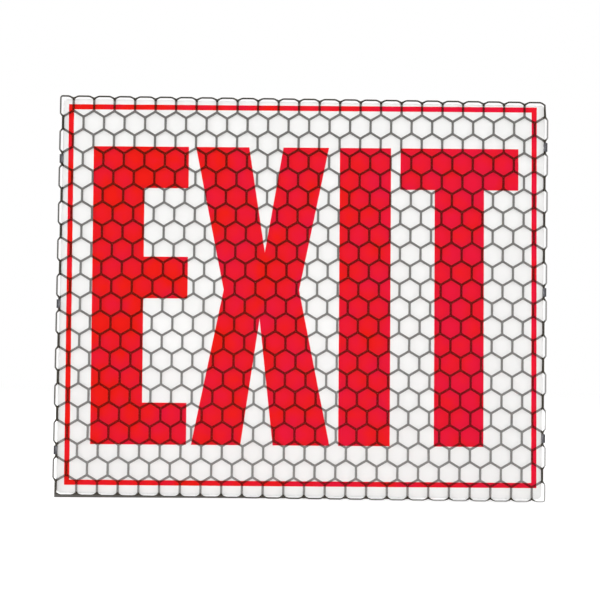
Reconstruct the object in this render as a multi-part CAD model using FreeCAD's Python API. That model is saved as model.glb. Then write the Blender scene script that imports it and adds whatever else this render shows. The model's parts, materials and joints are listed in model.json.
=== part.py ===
import FreeCAD, Part
import math
import os

# Illuminated exit sign for a wall: a lit legend panel under a honeycomb guard, in front of a
# light box and a bay with the driver, the battery and the test button.
# X runs to the right along the wall, Y into the wall and Z up, in millimetres. The origin is the
# middle of the cable hole, in the wall plane. Depth is the distance out of the wall, along -Y.

# Legend
letter_height = 152.4
stem_width = 26.2
arm_height = 21.3
e_width = 48.8
e_middle_arm_height = 85.2
x_top_width = 68.2
x_bottom_width = 70.5
x_waist_width = 38.5
x_waist_height = 79.2
x_main_limb_top = 27.3
x_main_limb_foot = 28.9
x_cross_limb_top = 23.3
x_cross_limb_foot = 25.1
x_upper_notch = 54.0
x_upper_notch_shift = 1.6
x_lower_notch = 64.4
x_lower_notch_shift = -0.8
t_width = 60.4
t_stem_width = 25.2
gap_after_e = 2.5
gap_after_x = 4.5
gap_after_i = 4.9
left_margin = 16.4
right_margin = 12.8
top_margin = 23.5
bottom_margin = 25.6
film_thickness = 0.25
border_inset = 3.4
border_line = 2.6
border_rise = 1.5
legend_turn = 0.4

# Housing and face
housing_wall = 2.2
housing_corner_radius = 2.5
panel_thickness = 3.0
panel_edge_radius = 0.2
gasket_thickness = 1.0
gasket_clearance = 0.4
gasket_inset = 1.0
ledge_width = 8.0
ledge_thickness = 4.0
bay_clearance = 2.2

# Honeycomb guard
cell_width = 10.5
cell_row_pitch = 9.3
bar_width = 1.2
rim_edge = 0.25
guard_depth = 1.5
lobe_reach = 1.5
lobe_half_height = 4.8
crown_rise = 1.4
crown_corner = 2.0
rim_corner = 0.7
foot_rise = 1.2
foot_drop = 0.75
foot_length = 85.0
notch_fill = 0.35
clip_thickness = 0.7
clip_width = 4.4
clip_reach = 13.0
clip_bite = 1.4
clip_clearance = 0.1
clip_slot_clearance = 0.2
clip_count = 3

# Screws
screw_shank_radius = 1.45
screw_head_radius = 2.7
screw_head_height = 1.5
screw_slot_width = 0.8
screw_slot_depth = 0.7
thread_clearance = 0.05
screw_clearance = 0.2

# Light box
tray_sheet = 1.0
tray_depth = 12.0
tray_clearance = 0.5
tray_screw_spread_x = 70.0
tray_screw_spread_z = 60.0
tray_screw_length = 4.0
led_board_height = 12.0
led_board_thickness = 1.6
led_board_margin = 8.0
led_row_pitch = 60.0
led_pitch = 23.0
led_length = 3.5
led_height = 2.8
led_thickness = 0.8
led_screw_margin = 4.0
led_end_margin = 16.0
led_screw_length = 4.6
led_socket_x = 22.0
led_socket_z = -22.0
led_socket_width = 9.0
led_socket_height = 8.0
led_socket_depth = 7.0

# Back plate
plate_sheet = 1.2
plate_clearance = 0.3
plate_flange_depth = 12.0
side_screw_depth = 6.0
side_screw_spread = 60.0
side_screw_length = 6.0
wall_hole_radius = 2.6
wall_hole_spacing = 160.0
wall_hole_height = 60.0
box_hole_spacing = 88.9
cable_hole_radius = 11.1
bush_clearance = 0.1
bush_wall = 2.5
bush_flange_radius = 13.5
bush_flange_thickness = 1.5

# Conduit plug in the top wall
plug_depth = 12.0
plug_radius = 8.0
plug_clearance = 0.1
plug_cap_radius = 9.6
plug_cap_thickness = 1.2
plug_wall = 1.4
plug_length = 6.0

# Driver board
board_width = 100.0
board_height = 54.0
board_thickness = 1.6
board_side_margin = 8.0
board_bottom_margin = 10.0
board_hole_margin = 4.0
standoff_radius = 2.8
standoff_height = 6.0
board_screw_length = 5.0
core_width = 24.0
core_height = 22.0
core_thickness = 6.0
core_leg = 4.0
core_middle_leg = 6.0
core_from_left = 22.0
core_from_bottom = 30.0
winding_wall = 2.8
winding_clearance = 0.2
capacitor_radius = 5.0
capacitor_height = 12.0
capacitor_pitch = 13.0
capacitor_from_left = 46.0
capacitor_from_bottom = 20.0
chip_width = 12.0
chip_height = 7.0
chip_thickness = 2.5
chip_from_left = 72.0
chip_from_bottom = 22.0
terminal_pitch = 5.0
terminal_count = 3
terminal_end_wall = 1.0
terminal_height = 9.0
terminal_depth = 11.0
terminal_from_left = 52.0
terminal_hole_radius = 1.6
terminal_hole_length = 6.0
terminal_hole_depth = 2.8
terminal_screw_radius = 1.5
terminal_screw_length = 3.0
terminal_well_depth = 5.0
socket_width = 6.0
socket_length = 7.0
socket_depth = 6.0
socket_edge = 1.0
socket_pitch = 15.0
socket_first_height = 12.0

# Battery
cell_diameter = 14.5
cell_length = 50.0
cell_count = 3
wrap_flat = 0.3
battery_side_margin = 38.0
battery_bottom_margin = 28.0
strap_sheet = 0.8
strap_width = 14.0
strap_clearance = 0.1
strap_foot = 9.0

# Test button
button_from_side = 51.0
button_depth = 13.0
button_radius = 2.5
button_clearance = 0.1
button_stand = 1.25
button_edge_radius = 0.5
button_collar_radius = 3.5
button_collar_thickness = 1.5
button_spigot_radius = 1.2
button_spigot_length = 3.0
button_bush_radius = 4.1
button_bush_length = 5.5
button_bush_flange_radius = 6.0
button_bush_flange_thickness = 0.4
button_hole_clearance = 0.1
button_nut_size = 12.0
button_nut_thickness = 3.0
spring_length = 6.0
spring_radius = 2.2
spring_wire_radius = 0.25
spring_turns = 5
spring_seat_gap = 0.05
switch_size = 14.0
switch_wall = 2.5
switch_clearance = 0.4

# Charge lamp
lamp_from_button = 20.0
lamp_radius = 2.4
lamp_clearance = 0.1
lamp_stand = 1.4
lamp_edge_radius = 1.2
lamp_flange_radius = 3.0
lamp_flange_thickness = 1.0
lamp_length = 5.0
lamp_clip_radius = 4.5
lamp_clip_height = 4.0

# Leads inside the bay
lead_radius = 1.2
lead_arc_share = 0.45
lead_exit = 16.0
led_lead_rise = 8.0
led_lead_lean = 6.0
led_lead_entry = 12.0

# Worked out from the sizes above
legend_width = (e_width + gap_after_e + x_bottom_width + gap_after_x + stem_width
                + gap_after_i + t_width)
face_width = left_margin + legend_width + right_margin
face_height = bottom_margin + letter_height + top_margin
half_width = face_width / 2
half_height = face_height / 2
inner_half_width = half_width - housing_wall
inner_half_height = half_height - housing_wall
baseline = -half_height + bottom_margin

board_back = plate_sheet + standoff_height
board_front = board_back + board_thickness
winding_depth = core_thickness + 2 * (winding_clearance + winding_wall)
battery_front = plate_sheet + cell_diameter
tallest_on_board = max(winding_depth, capacitor_height, terminal_depth, socket_depth,
                       chip_thickness)
tray_floor_back = bay_clearance + max(board_front + tallest_on_board,
                                      battery_front + strap_clearance + strap_sheet,
                                      button_depth + switch_size / 2,
                                      plug_depth + plug_radius)
tray_floor_front = tray_floor_back + tray_sheet
ledge_back = tray_floor_front + tray_depth
tray_rim_back = ledge_back - tray_sheet
ledge_front = ledge_back + ledge_thickness
panel_back = ledge_front + gasket_thickness
panel_front = panel_back + panel_thickness
gasket_half_width = inner_half_width - gasket_clearance
gasket_half_height = inner_half_height - gasket_clearance
window_half_width = inner_half_width - ledge_width
window_half_height = inner_half_height - ledge_width

columns = round(face_width / cell_width + 0.5)
rows = round(face_height / cell_row_pitch + 1 / 3)
column_pitch = face_width / (columns - 0.5)
row_pitch = face_height / (rows - 1 / 3)
wall_half = row_pitch / 3
roof_rise = row_pitch / 3
half_bar = bar_width / 2
rim_match = 0.001
guard_back = panel_front + film_thickness
guard_front = guard_back + guard_depth
clip_leg_inner = half_width + rim_edge + notch_fill + clip_clearance
clip_leg_outer = clip_leg_inner + clip_thickness
clip_tip = half_width - clip_bite
clip_barb_back = guard_back - clip_reach

tapped_radius = screw_shank_radius + thread_clearance
passing_radius = screw_shank_radius + screw_clearance

tray_screw_x = inner_half_width - ledge_width / 2
tray_screw_z = inner_half_height - ledge_width / 2
led_board_length = 2 * (window_half_width - tray_sheet - led_board_margin)
led_board_front = tray_floor_front + led_board_thickness
led_count = int((led_board_length - led_end_margin) // led_pitch)
led_screw_x = led_board_length / 2 - led_screw_margin

board_left = -inner_half_width + board_side_margin
board_right = board_left + board_width
board_bottom = -inner_half_height + board_bottom_margin
board_top = board_bottom + board_height
socket_face = board_right - socket_edge
socket_middle = board_front + socket_depth / 2

battery_right = inner_half_width - battery_side_margin
battery_left = battery_right - cell_length
battery_bottom = -inner_half_height + battery_bottom_margin
battery_height = cell_count * cell_diameter
battery_top = battery_bottom + battery_height
strap_x = (battery_left + battery_right) / 2

floor_outside = -half_height
floor_inside = -inner_half_height
button_x = inner_half_width - button_from_side
bush_top = floor_inside + button_bush_length
button_tip = floor_outside - button_bush_flange_thickness - button_stand
collar_top = bush_top + button_collar_thickness
nut_top = floor_inside + button_nut_thickness
switch_ceiling = collar_top + spring_length
switch_top = switch_ceiling + switch_wall
switch_left = button_x - switch_size / 2
lamp_x = button_x - lamp_from_button

OUT = FreeCAD.Vector(0, -1, 0)
UP = FreeCAD.Vector(0, 0, 1)
RIGHT = FreeCAD.Vector(1, 0, 0)


def at(x, depth, z):
    """Point at a place along the wall, a distance out of the wall and a height."""
    return FreeCAD.Vector(x, -depth, z)


def around(middle, size):
    """Span of a size about its middle."""
    return (middle - size / 2, middle + size / 2)


def both(half):
    """Span about zero."""
    return (-half, half)


def block(x_span, depth_span, z_span):
    """Square-edged solid between three spans."""
    corner = at(x_span[0], depth_span[1], z_span[0])
    return Part.makeBox(x_span[1] - x_span[0], depth_span[1] - depth_span[0],
                        z_span[1] - z_span[0], corner)


def rod(radius, start, direction, length):
    """Round solid from a start point along a direction."""
    return Part.makeCylinder(radius, length, start, direction)


def loop(outline, depth):
    """Closed wire through (x, z) corners at one depth."""
    points = [at(x, depth, z) for x, z in outline]
    return Part.makePolygon(points + points[:1])


def prism(outline, depth_span):
    """Solid with an (x, z) outline between two depths."""
    face = Part.Face(loop(outline, depth_span[0]))
    return face.extrude(OUT * (depth_span[1] - depth_span[0]))


def edges_at_depth(shape, depth):
    """Edges that lie wholly at one depth."""
    return [edge for edge in shape.Edges
            if all(abs(vertex.Point.y + depth) < 1e-6 for vertex in edge.Vertexes)]


def edges_along_depth(shape):
    """Straight edges that run out of the wall."""
    return [edge for edge in shape.Edges
            if abs(edge.tangentAt(edge.FirstParameter).y) > 0.999]


def screw(seat, outward, length):
    """Slotted pan-head screw whose head sits on the seat point."""
    shank = rod(screw_shank_radius, -UP * length, UP, length)
    head = rod(screw_head_radius, FreeCAD.Vector(), UP, screw_head_height)
    slot = Part.makeBox(4 * screw_head_radius, screw_slot_width, screw_slot_depth)
    slot.translate(FreeCAD.Vector(-2 * screw_head_radius, -screw_slot_width / 2,
                                  screw_head_height - screw_slot_depth))
    body = shank.fuse(head).removeSplitter().cut(slot)
    body.Placement = FreeCAD.Placement(seat, FreeCAD.Rotation(UP, outward))
    return body


def group(solids):
    """Like pieces that share one node."""
    return Part.makeCompound(solids)


# Housing and face

def side_screw_points():
    """Seats of the screws in the left and right walls, with the way each one points out."""
    return [(at(side * half_width, side_screw_depth, height), RIGHT * side)
            for side in (-1, 1) for height in (-side_screw_spread, side_screw_spread)]


def tray_screw_points():
    """Places of the tray screws along the ledge."""
    sides = [(x, z) for x in both(tray_screw_x) for z in both(tray_screw_spread_z)]
    ends = [(x, z) for x in both(tray_screw_spread_x) for z in both(tray_screw_z)]
    return sides + ends


def clip_places():
    """Side and height of each guard clip, on rows where the rim steps in."""
    places = []
    for side in (-1, 1):
        stepped_rows = [row for row in range(rows) if lobe_side(row) != side]
        for index in range(clip_count):
            row = stepped_rows[(2 * index + 1) * len(stepped_rows) // (2 * clip_count)]
            places.append((side, row_height(row)))
    return places


def make_housing():
    """Moulded ring with the ledge that carries the seal, the panel and the tray."""
    shell = block(both(half_width), (0, panel_back), both(half_height))
    shell = shell.makeFillet(housing_corner_radius, edges_along_depth(shell))
    cuts = [
        block(both(inner_half_width), (0, ledge_back), both(inner_half_height)),
        block(both(window_half_width), (ledge_back, ledge_front), both(window_half_height)),
        block(both(inner_half_width), (ledge_front, panel_back), both(inner_half_height)),
        rod(button_bush_radius + button_hole_clearance, at(button_x, button_depth, floor_outside),
            UP, housing_wall),
        rod(lamp_radius + lamp_clearance, at(lamp_x, button_depth, floor_outside),
            UP, housing_wall),
        rod(plug_radius, at(0, plug_depth, inner_half_height), UP, housing_wall),
    ]
    for seat, outward in side_screw_points():
        cuts.append(rod(passing_radius, seat, -outward, housing_wall))
    for x, z in tray_screw_points():
        cuts.append(rod(tapped_radius, at(x, ledge_back, z), OUT, tray_screw_length - tray_sheet))
    for side, height in clip_places():
        wall = sorted((side * half_width, side * inner_half_width))
        depth = (clip_barb_back - clip_slot_clearance,
                 clip_barb_back + clip_thickness + clip_slot_clearance)
        cuts.append(block(wall, depth, around(height, clip_width + 2 * clip_slot_clearance)))
    return shell.cut(cuts)


def make_panel_gasket():
    """Foam frame between the ledge and the panel."""
    depth = (ledge_front, panel_back)
    outer = block(both(gasket_half_width), depth, both(gasket_half_height))
    inner = block(both(window_half_width + gasket_inset), depth,
                  both(window_half_height + gasket_inset))
    return outer.cut(inner)


def make_legend_panel():
    """Opal sheet that laps the front edge of the housing and lies on the seal."""
    sheet = block(both(half_width), (panel_back, panel_front), both(half_height))
    sheet = sheet.makeFillet(housing_corner_radius, edges_along_depth(sheet))
    return sheet.makeFillet(panel_edge_radius, edges_at_depth(sheet, panel_front))


# Legend

def laid(shape):
    """Film turned with the whole legend, which lies slightly askew on the panel."""
    shape.rotate(at(0, panel_front, 0), OUT, legend_turn)
    return shape


def film(outline):
    """Red film on the panel, its outline measured from the left end of the baseline."""
    left = -half_width + left_margin
    placed = [(left + x, baseline + z) for x, z in outline]
    return laid(prism(placed, (panel_front, guard_back)))


def make_letter_e():
    """Letter with a stem and three arms."""
    middle_low, middle_high = around(e_middle_arm_height, arm_height)
    return film([
        (0, 0), (e_width, 0), (e_width, arm_height), (stem_width, arm_height),
        (stem_width, middle_low), (e_width, middle_low), (e_width, middle_high),
        (stem_width, middle_high), (stem_width, letter_height - arm_height),
        (e_width, letter_height - arm_height), (e_width, letter_height), (0, letter_height),
    ])


def make_letter_x():
    """Letter with a heavy main limb, a lighter one across it and a broad waist."""
    left = e_width + gap_after_e
    middle = left + x_bottom_width / 2
    foot_left, foot_right = around(middle, x_bottom_width)
    head_left, head_right = around(middle, x_top_width)
    waist_left, waist_right = around(middle, x_waist_width)
    return film([
        (foot_left, 0), (foot_left + x_cross_limb_foot, 0),
        (middle + x_lower_notch_shift, x_lower_notch),
        (foot_right - x_main_limb_foot, 0), (foot_right, 0), (waist_right, x_waist_height),
        (head_right, letter_height), (head_right - x_cross_limb_top, letter_height),
        (middle + x_upper_notch_shift, letter_height - x_upper_notch),
        (head_left + x_main_limb_top, letter_height), (head_left, letter_height),
        (waist_left, x_waist_height),
    ])


def make_letter_i():
    """Letter of one plain stem."""
    left = e_width + gap_after_e + x_bottom_width + gap_after_x
    right = left + stem_width
    return film([(left, 0), (right, 0), (right, letter_height), (left, letter_height)])


def make_letter_t():
    """Letter with a stem under a bar."""
    right = legend_width
    left = right - t_width
    stem_left, stem_right = around((left + right) / 2, t_stem_width)
    bar_low = letter_height - arm_height
    return film([
        (stem_left, 0), (stem_right, 0), (stem_right, bar_low), (right, bar_low),
        (right, letter_height), (left, letter_height), (left, bar_low), (stem_left, bar_low),
    ])


def make_red_border():
    """Thin red frame close to the edge of the panel."""
    depth = (panel_front, guard_back)
    outer_x = half_width - border_inset
    height = face_height - 2 * border_inset
    outer = block(both(outer_x), depth, around(border_rise, height))
    inner = block(both(outer_x - border_line), depth,
                  around(border_rise, height - 2 * border_line))
    return laid(outer.cut(inner))


# Honeycomb guard

def row_height(row):
    """Height of the middle of a row of cells, counted from the bottom."""
    return (row - (rows - 1) / 2) * row_pitch


def lobe_side(row):
    """End of a row that has the part cell standing out: -1 on the left, 1 on the right."""
    return -1 if (rows - 1 - row) % 2 == 0 else 1


def corner(x, z):
    """Cell corner, rounded so that neighbouring cells share it exactly."""
    return (round(x, 4), round(z, 4))


def cell_outline(row, column):
    """Corners of one cell along the middle of its bars, anticlockwise from the lower left."""
    z = row_height(row)
    on_left = lobe_side(row) < 0
    left = -half_width + (column - 0.5 if on_left else column) * column_pitch
    right = left + column_pitch
    lobe_left = on_left and column == 0
    lobe_right = not on_left and column == columns - 1
    top = row == rows - 1
    bottom = row == 0
    middle = (left + right) / 2
    crown_top = z + wall_half + crown_rise
    crown_bottom = z - wall_half - foot_rise
    outer_left = -half_width - lobe_reach
    outer_right = half_width + lobe_reach

    points = []
    if not lobe_left:
        points.append((left, z - wall_half))
    if not bottom:
        points.append((middle, z - wall_half - roof_rise))
    elif lobe_right:
        points += [(left + crown_corner, crown_bottom), (outer_right - rim_corner, crown_bottom),
                   (outer_right, crown_bottom + rim_corner)]
    else:
        points += [(left + crown_corner, crown_bottom), (right - crown_corner, crown_bottom)]
    if lobe_right:
        if not bottom:
            points.append((outer_right, z - lobe_half_height))
        points.append((outer_right, z + lobe_half_height))
    else:
        points += [(right, z - wall_half), (right, z + wall_half)]
    if not top:
        points.append((middle, z + wall_half + roof_rise))
    elif lobe_left:
        points += [(right - crown_corner, crown_top), (outer_left + rim_corner, crown_top),
                   (outer_left, crown_top - rim_corner)]
    else:
        points += [(right - crown_corner, crown_top), (left + crown_corner, crown_top)]
    if lobe_left:
        if not top:
            points.append((outer_left, z + lobe_half_height))
        points.append((outer_left, z - lobe_half_height))
    else:
        points.append((left, z + wall_half))
    return [corner(*point) for point in points]


def moved_in(outline, distance):
    """Anticlockwise outline with each side moved in, or out for a negative distance."""
    moved = []
    count = len(outline)
    for index, (x, z) in enumerate(outline):
        before = outline[index - 1]
        after = outline[(index + 1) % count]
        length_in = math.hypot(x - before[0], z - before[1])
        length_out = math.hypot(after[0] - x, after[1] - z)
        normal_in = ((before[1] - z) / length_in, (x - before[0]) / length_in)
        normal_out = ((z - after[1]) / length_out, (after[0] - x) / length_out)
        share = distance / (1 + normal_in[0] * normal_out[0] + normal_in[1] * normal_out[1])
        moved.append((x + (normal_in[0] + normal_out[0]) * share,
                      z + (normal_in[1] + normal_out[1]) * share))
    return moved


def rim_outline(cells):
    """Corners round the outside of all the cells: the sides that only one cell has."""
    sides = {side for cell in cells for side in zip(cell, cell[1:] + cell[:1])}
    onward = {start: end for start, end in sides if (end, start) not in sides}
    rim = [min(onward)]
    while onward[rim[-1]] != rim[0]:
        rim.append(onward[rim[-1]])
    return rim


def foot_line(x):
    """Height of the straight foot under the scallops, lowest at the left and running out to the right."""
    left = -half_width - rim_edge - notch_fill
    scallops_bottom = -half_height - foot_rise - rim_edge
    return scallops_bottom - foot_drop * (1 - (x - left) / foot_length)


def edge_point(rim_point, moved_out):
    """Point on the outer edge: fuller where the rim steps in to a notch, and down on the foot."""
    x, z = moved_out
    beside = abs(abs(rim_point[0]) - half_width) < rim_match
    above = abs(rim_point[1] - half_height) < rim_match
    if beside and not above:
        x += math.copysign(notch_fill, x)
    if above and not beside:
        z += notch_fill
    if rim_point[1] < -half_height + rim_match:
        z = min(z, foot_line(x))
    return (x, z)


def guard_outline(rim):
    """Outer edge of the guard: the scalloped rim with its straight foot at the bottom left."""
    return [edge_point(*pair) for pair in zip(rim, moved_in(rim, -rim_edge))]


def strip_faces(back, front):
    """Flat walls between matching corners of a back and a front outline."""
    faces = []
    for index in range(len(back)):
        corners = [at(back[index - 1][0], guard_back, back[index - 1][1]),
                   at(back[index][0], guard_back, back[index][1]),
                   at(front[index][0], guard_front, front[index][1]),
                   at(front[index - 1][0], guard_front, front[index - 1][1])]
        faces.append(Part.Face(Part.makePolygon(corners + corners[:1])))
    return faces


def make_hex_guard():
    """One-piece honeycomb: bars flat in front that taper to an edge against the panel."""
    cells = [cell_outline(row, column) for row in range(rows) for column in range(columns)]
    openings = [moved_in(cell, half_bar) for cell in cells]
    rim = rim_outline(cells)
    edge = guard_outline(rim)
    faces = [
        Part.Face([loop(edge, guard_front)] + [loop(hole, guard_front) for hole in openings]),
        Part.Face([loop(edge, guard_back), loop(rim, guard_back)]),
    ]
    faces += strip_faces(edge, edge)
    for cell, hole in zip(cells, openings):
        faces += strip_faces(cell, hole)
    skin = Part.makeCompound(faces)
    skin.sewShape()
    return Part.makeSolid(skin.Shells[0])


def make_guard_clips():
    """Clips that hook over the rim in front and bite into slots in the housing walls."""
    clips = []
    for side, height in clip_places():
        section = [
            (half_width - half_bar, guard_front), (clip_leg_inner, guard_front),
            (clip_leg_inner, clip_barb_back + clip_thickness),
            (clip_tip, clip_barb_back + clip_thickness), (clip_tip, clip_barb_back),
            (clip_leg_outer, clip_barb_back), (clip_leg_outer, guard_front + clip_thickness),
            (half_width - half_bar, guard_front + clip_thickness),
        ]
        bottom = height - clip_width / 2
        points = [at(side * x, depth, bottom) for x, depth in section]
        face = Part.Face(Part.makePolygon(points + points[:1]))
        clips.append(face.extrude(UP * clip_width))
    return group(clips)


# Light box

def make_reflector_tray():
    """White pan behind the window, with a rim screwed to the back of the ledge."""
    rim = block(both(inner_half_width - tray_clearance), (tray_rim_back, ledge_back),
                both(inner_half_height - tray_clearance))
    pan = block(both(window_half_width), (tray_floor_back, ledge_back), both(window_half_height))
    hollow = block(both(window_half_width - tray_sheet), (tray_floor_front, ledge_back),
                   both(window_half_height - tray_sheet))
    holes = [rod(passing_radius, at(x, tray_rim_back, z), OUT, tray_sheet)
             for x, z in tray_screw_points()]
    holes += [rod(tapped_radius, at(x, tray_floor_back, z), OUT, tray_sheet)
              for x, z in led_screw_points()]
    return rim.fuse(pan).removeSplitter().cut([hollow] + holes)


def make_tray_screws():
    """Screws from behind, through the rim of the tray into the ledge."""
    length = tray_screw_length - thread_clearance
    return group([screw(at(x, tray_rim_back, z), -OUT, length) for x, z in tray_screw_points()])


def led_screw_points():
    """Places of the lamp board screws, two on each board."""
    return [(x, row * led_row_pitch) for row in (-1, 0, 1) for x in both(led_screw_x)]


def make_led_board(row):
    """Lamp board on the floor of the tray, with a hole near each end."""
    z = row * led_row_pitch
    board = block(both(led_board_length / 2), (tray_floor_front, led_board_front),
                  around(z, led_board_height))
    return board.cut([rod(passing_radius, at(x, tray_floor_front, z), OUT, led_board_thickness)
                      for x in both(led_screw_x)])


def make_led_chips():
    """Lamps in even rows along the boards."""
    chips = []
    for row in (-1, 0, 1):
        for index in range(led_count):
            x = (index - (led_count - 1) / 2) * led_pitch
            chips.append(block(around(x, led_length),
                               (led_board_front, led_board_front + led_thickness),
                               around(row * led_row_pitch, led_height)))
    return group(chips)


def make_led_board_screws():
    """Screws through the lamp boards into the tray."""
    return group([screw(at(x, led_board_front, z), OUT, led_screw_length)
                  for x, z in led_screw_points()])


def make_led_socket():
    """Plug-in socket behind the tray for the lamp lead."""
    return block(around(led_socket_x, led_socket_width),
                 (tray_floor_back - led_socket_depth, tray_floor_back),
                 (led_socket_z, led_socket_z + led_socket_height))


# Back plate

def make_back_plate():
    """Steel back with a flange on each side, its wall holes and its cable hole."""
    outer_x = inner_half_width - plate_clearance
    outer_z = inner_half_height - plate_clearance
    plate = block(both(outer_x), (0, plate_flange_depth), both(outer_z))
    hollow = block(both(outer_x - plate_sheet), (plate_sheet, plate_flange_depth), both(outer_z))
    holes = [rod(cable_hole_radius, at(0, 0, 0), OUT, plate_sheet)]
    for x in both(wall_hole_spacing / 2):
        holes.append(rod(wall_hole_radius, at(x, 0, wall_hole_height), OUT, plate_sheet))
    for x in both(box_hole_spacing / 2):
        holes.append(rod(wall_hole_radius, at(x, 0, 0), OUT, plate_sheet))
    for seat, outward in side_screw_points():
        holes.append(rod(tapped_radius, seat, -outward,
                         housing_wall + plate_clearance + plate_sheet))
    for x, z in strap_screw_points():
        holes.append(rod(tapped_radius, at(x, 0, z), OUT, plate_sheet))
    return plate.cut([hollow] + holes)


def make_side_screws():
    """Screws through the side walls of the housing into the flanges of the plate."""
    return group([screw(seat, outward, side_screw_length)
                  for seat, outward in side_screw_points()])


def make_cable_bush():
    """Snap bush that lines the cable hole, with its flange inside."""
    radius = cable_hole_radius - bush_clearance
    body = rod(radius, at(0, 0, 0), OUT, plate_sheet + bush_flange_thickness)
    flange = rod(bush_flange_radius, at(0, plate_sheet, 0), OUT, bush_flange_thickness)
    bore = rod(radius - bush_wall, at(0, 0, 0), OUT, plate_sheet + bush_flange_thickness)
    return body.fuse(flange).removeSplitter().cut(bore)


def make_entry_plug():
    """Plug that closes the conduit hole in the top wall."""
    radius = plug_radius - plug_clearance
    cap = rod(plug_cap_radius, at(0, plug_depth, half_height), UP, plug_cap_thickness)
    body = rod(radius, at(0, plug_depth, half_height), -UP, plug_length)
    hollow = rod(radius - plug_wall, at(0, plug_depth, half_height), -UP, plug_length)
    return cap.fuse(body).removeSplitter().cut(hollow)


# Driver board

def standoff_points():
    """Corners of the driver board where it is held."""
    return [(x, z)
            for x in (board_left + board_hole_margin, board_right - board_hole_margin)
            for z in (board_bottom + board_hole_margin, board_top - board_hole_margin)]


def make_driver_board():
    """Board of the charger and lamp driver."""
    board = block((board_left, board_right), (board_back, board_front),
                  (board_bottom, board_top))
    return board.cut([rod(passing_radius, at(x, board_back, z), OUT, board_thickness)
                      for x, z in standoff_points()])


def make_board_standoffs():
    """Pillars between the plate and the board."""
    return group([rod(standoff_radius, at(x, plate_sheet, z), OUT, standoff_height)
                  .cut(rod(tapped_radius, at(x, plate_sheet, z), OUT, standoff_height))
                  for x, z in standoff_points()])


def make_board_screws():
    """Screws through the board into the pillars."""
    return group([screw(at(x, board_front, z), OUT, board_screw_length)
                  for x, z in standoff_points()])


def core_place():
    """Middle of the transformer along the wall, out of it and up."""
    depth = board_front + winding_depth / 2
    return board_left + core_from_left, depth, board_bottom + core_from_bottom


def make_transformer_core():
    """Ferrite core with two windows about its middle leg."""
    x, depth, z = core_place()
    core = block(around(x, core_width), around(depth, core_thickness), around(z, core_height))
    window_length = core_width - 2 * core_leg
    windows = [block(around(x, window_length), around(depth, core_thickness), span)
               for span in ((z - core_height / 2 + core_leg, z - core_middle_leg / 2),
                            (z + core_middle_leg / 2, z + core_height / 2 - core_leg))]
    return core.cut(windows)


def make_transformer_winding():
    """Taped winding round the middle leg, standing on the board."""
    x, depth, z = core_place()
    length = core_width - 2 * core_leg - 2 * winding_clearance
    hole_z = core_middle_leg + 2 * winding_clearance
    hole_depth = core_thickness + 2 * winding_clearance
    winding = block(around(x, length), around(depth, winding_depth),
                    around(z, hole_z + 2 * winding_wall))
    return winding.cut(block(around(x, length), around(depth, hole_depth), around(z, hole_z)))


def make_capacitors():
    """Pair of standing capacitors."""
    z = board_bottom + capacitor_from_bottom
    left = board_left + capacitor_from_left
    return group([rod(capacitor_radius, at(left + index * capacitor_pitch, board_front, z),
                      OUT, capacitor_height) for index in range(2)])


def make_control_chip():
    """Flat controller package."""
    return block(around(board_left + chip_from_left, chip_width),
                 (board_front, board_front + chip_thickness),
                 around(board_bottom + chip_from_bottom, chip_height))


def terminal_places():
    """Middle of each way of the terminal block."""
    first = board_left + terminal_from_left
    return [first + index * terminal_pitch for index in range(terminal_count)]


def make_terminal_block():
    """Supply terminals at the top edge of the board, wires in from above."""
    places = terminal_places()
    side = terminal_pitch / 2 + terminal_end_wall
    front = board_front + terminal_depth
    bottom = board_top - terminal_height
    body = block((places[0] - side, places[-1] + side), (board_front, front), (bottom, board_top))
    holes = []
    for x in places:
        holes.append(rod(terminal_screw_radius + thread_clearance,
                         at(x, front, bottom + terminal_height / 2), -OUT, terminal_well_depth))
        holes.append(rod(terminal_hole_radius, at(x, board_front + terminal_hole_depth, board_top),
                         -UP, terminal_hole_length))
    return body.cut(holes)


def make_terminal_screws():
    """Clamping screws at the bottom of their wells."""
    floor = board_front + terminal_depth - terminal_well_depth
    z = board_top - terminal_height / 2
    return group([rod(terminal_screw_radius, at(x, floor, z), OUT, terminal_screw_length)
                  for x in terminal_places()])


def socket_height(index):
    """Height of a lead socket on the right edge of the board."""
    return board_bottom + socket_first_height + index * socket_pitch


def make_lead_sockets():
    """Sockets for the switch, battery and lamp leads."""
    return group([block((socket_face - socket_width, socket_face),
                        (board_front, board_front + socket_depth),
                        around(socket_height(index), socket_length)) for index in range(3)])


# Battery

def strap_screw_points():
    """Screws in the feet of the strap, above and below the pack."""
    return [(strap_x, battery_bottom - strap_sheet - strap_clearance - strap_foot / 2),
            (strap_x, battery_top + strap_sheet + strap_clearance + strap_foot / 2)]


def make_battery_pack():
    """Wrapped pack of round cells lying side by side on the plate."""
    pack = block((battery_left, battery_right), (plate_sheet, battery_front),
                 (battery_bottom, battery_top))
    along = [edge for edge in pack.Edges
             if abs(edge.tangentAt(edge.FirstParameter).x) > 0.999]
    return pack.makeFillet((cell_diameter - wrap_flat) / 2, along)


def make_battery_strap():
    """Sheet strap over the pack, with a foot at each end."""
    inner_low = battery_bottom - strap_clearance
    inner_high = battery_top + strap_clearance
    inner_front = battery_front + strap_clearance
    x_span = around(strap_x, strap_width)
    outer = block(x_span, (plate_sheet, inner_front + strap_sheet),
                  (inner_low - strap_sheet, inner_high + strap_sheet))
    feet = block(x_span, (plate_sheet, plate_sheet + strap_sheet),
                 (inner_low - strap_sheet - strap_foot, inner_high + strap_sheet + strap_foot))
    inside = block(x_span, (plate_sheet, inner_front), (inner_low, inner_high))
    holes = [rod(passing_radius, at(x, plate_sheet, z), OUT, strap_sheet)
             for x, z in strap_screw_points()]
    return outer.fuse(feet).removeSplitter().cut([inside] + holes)


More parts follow.
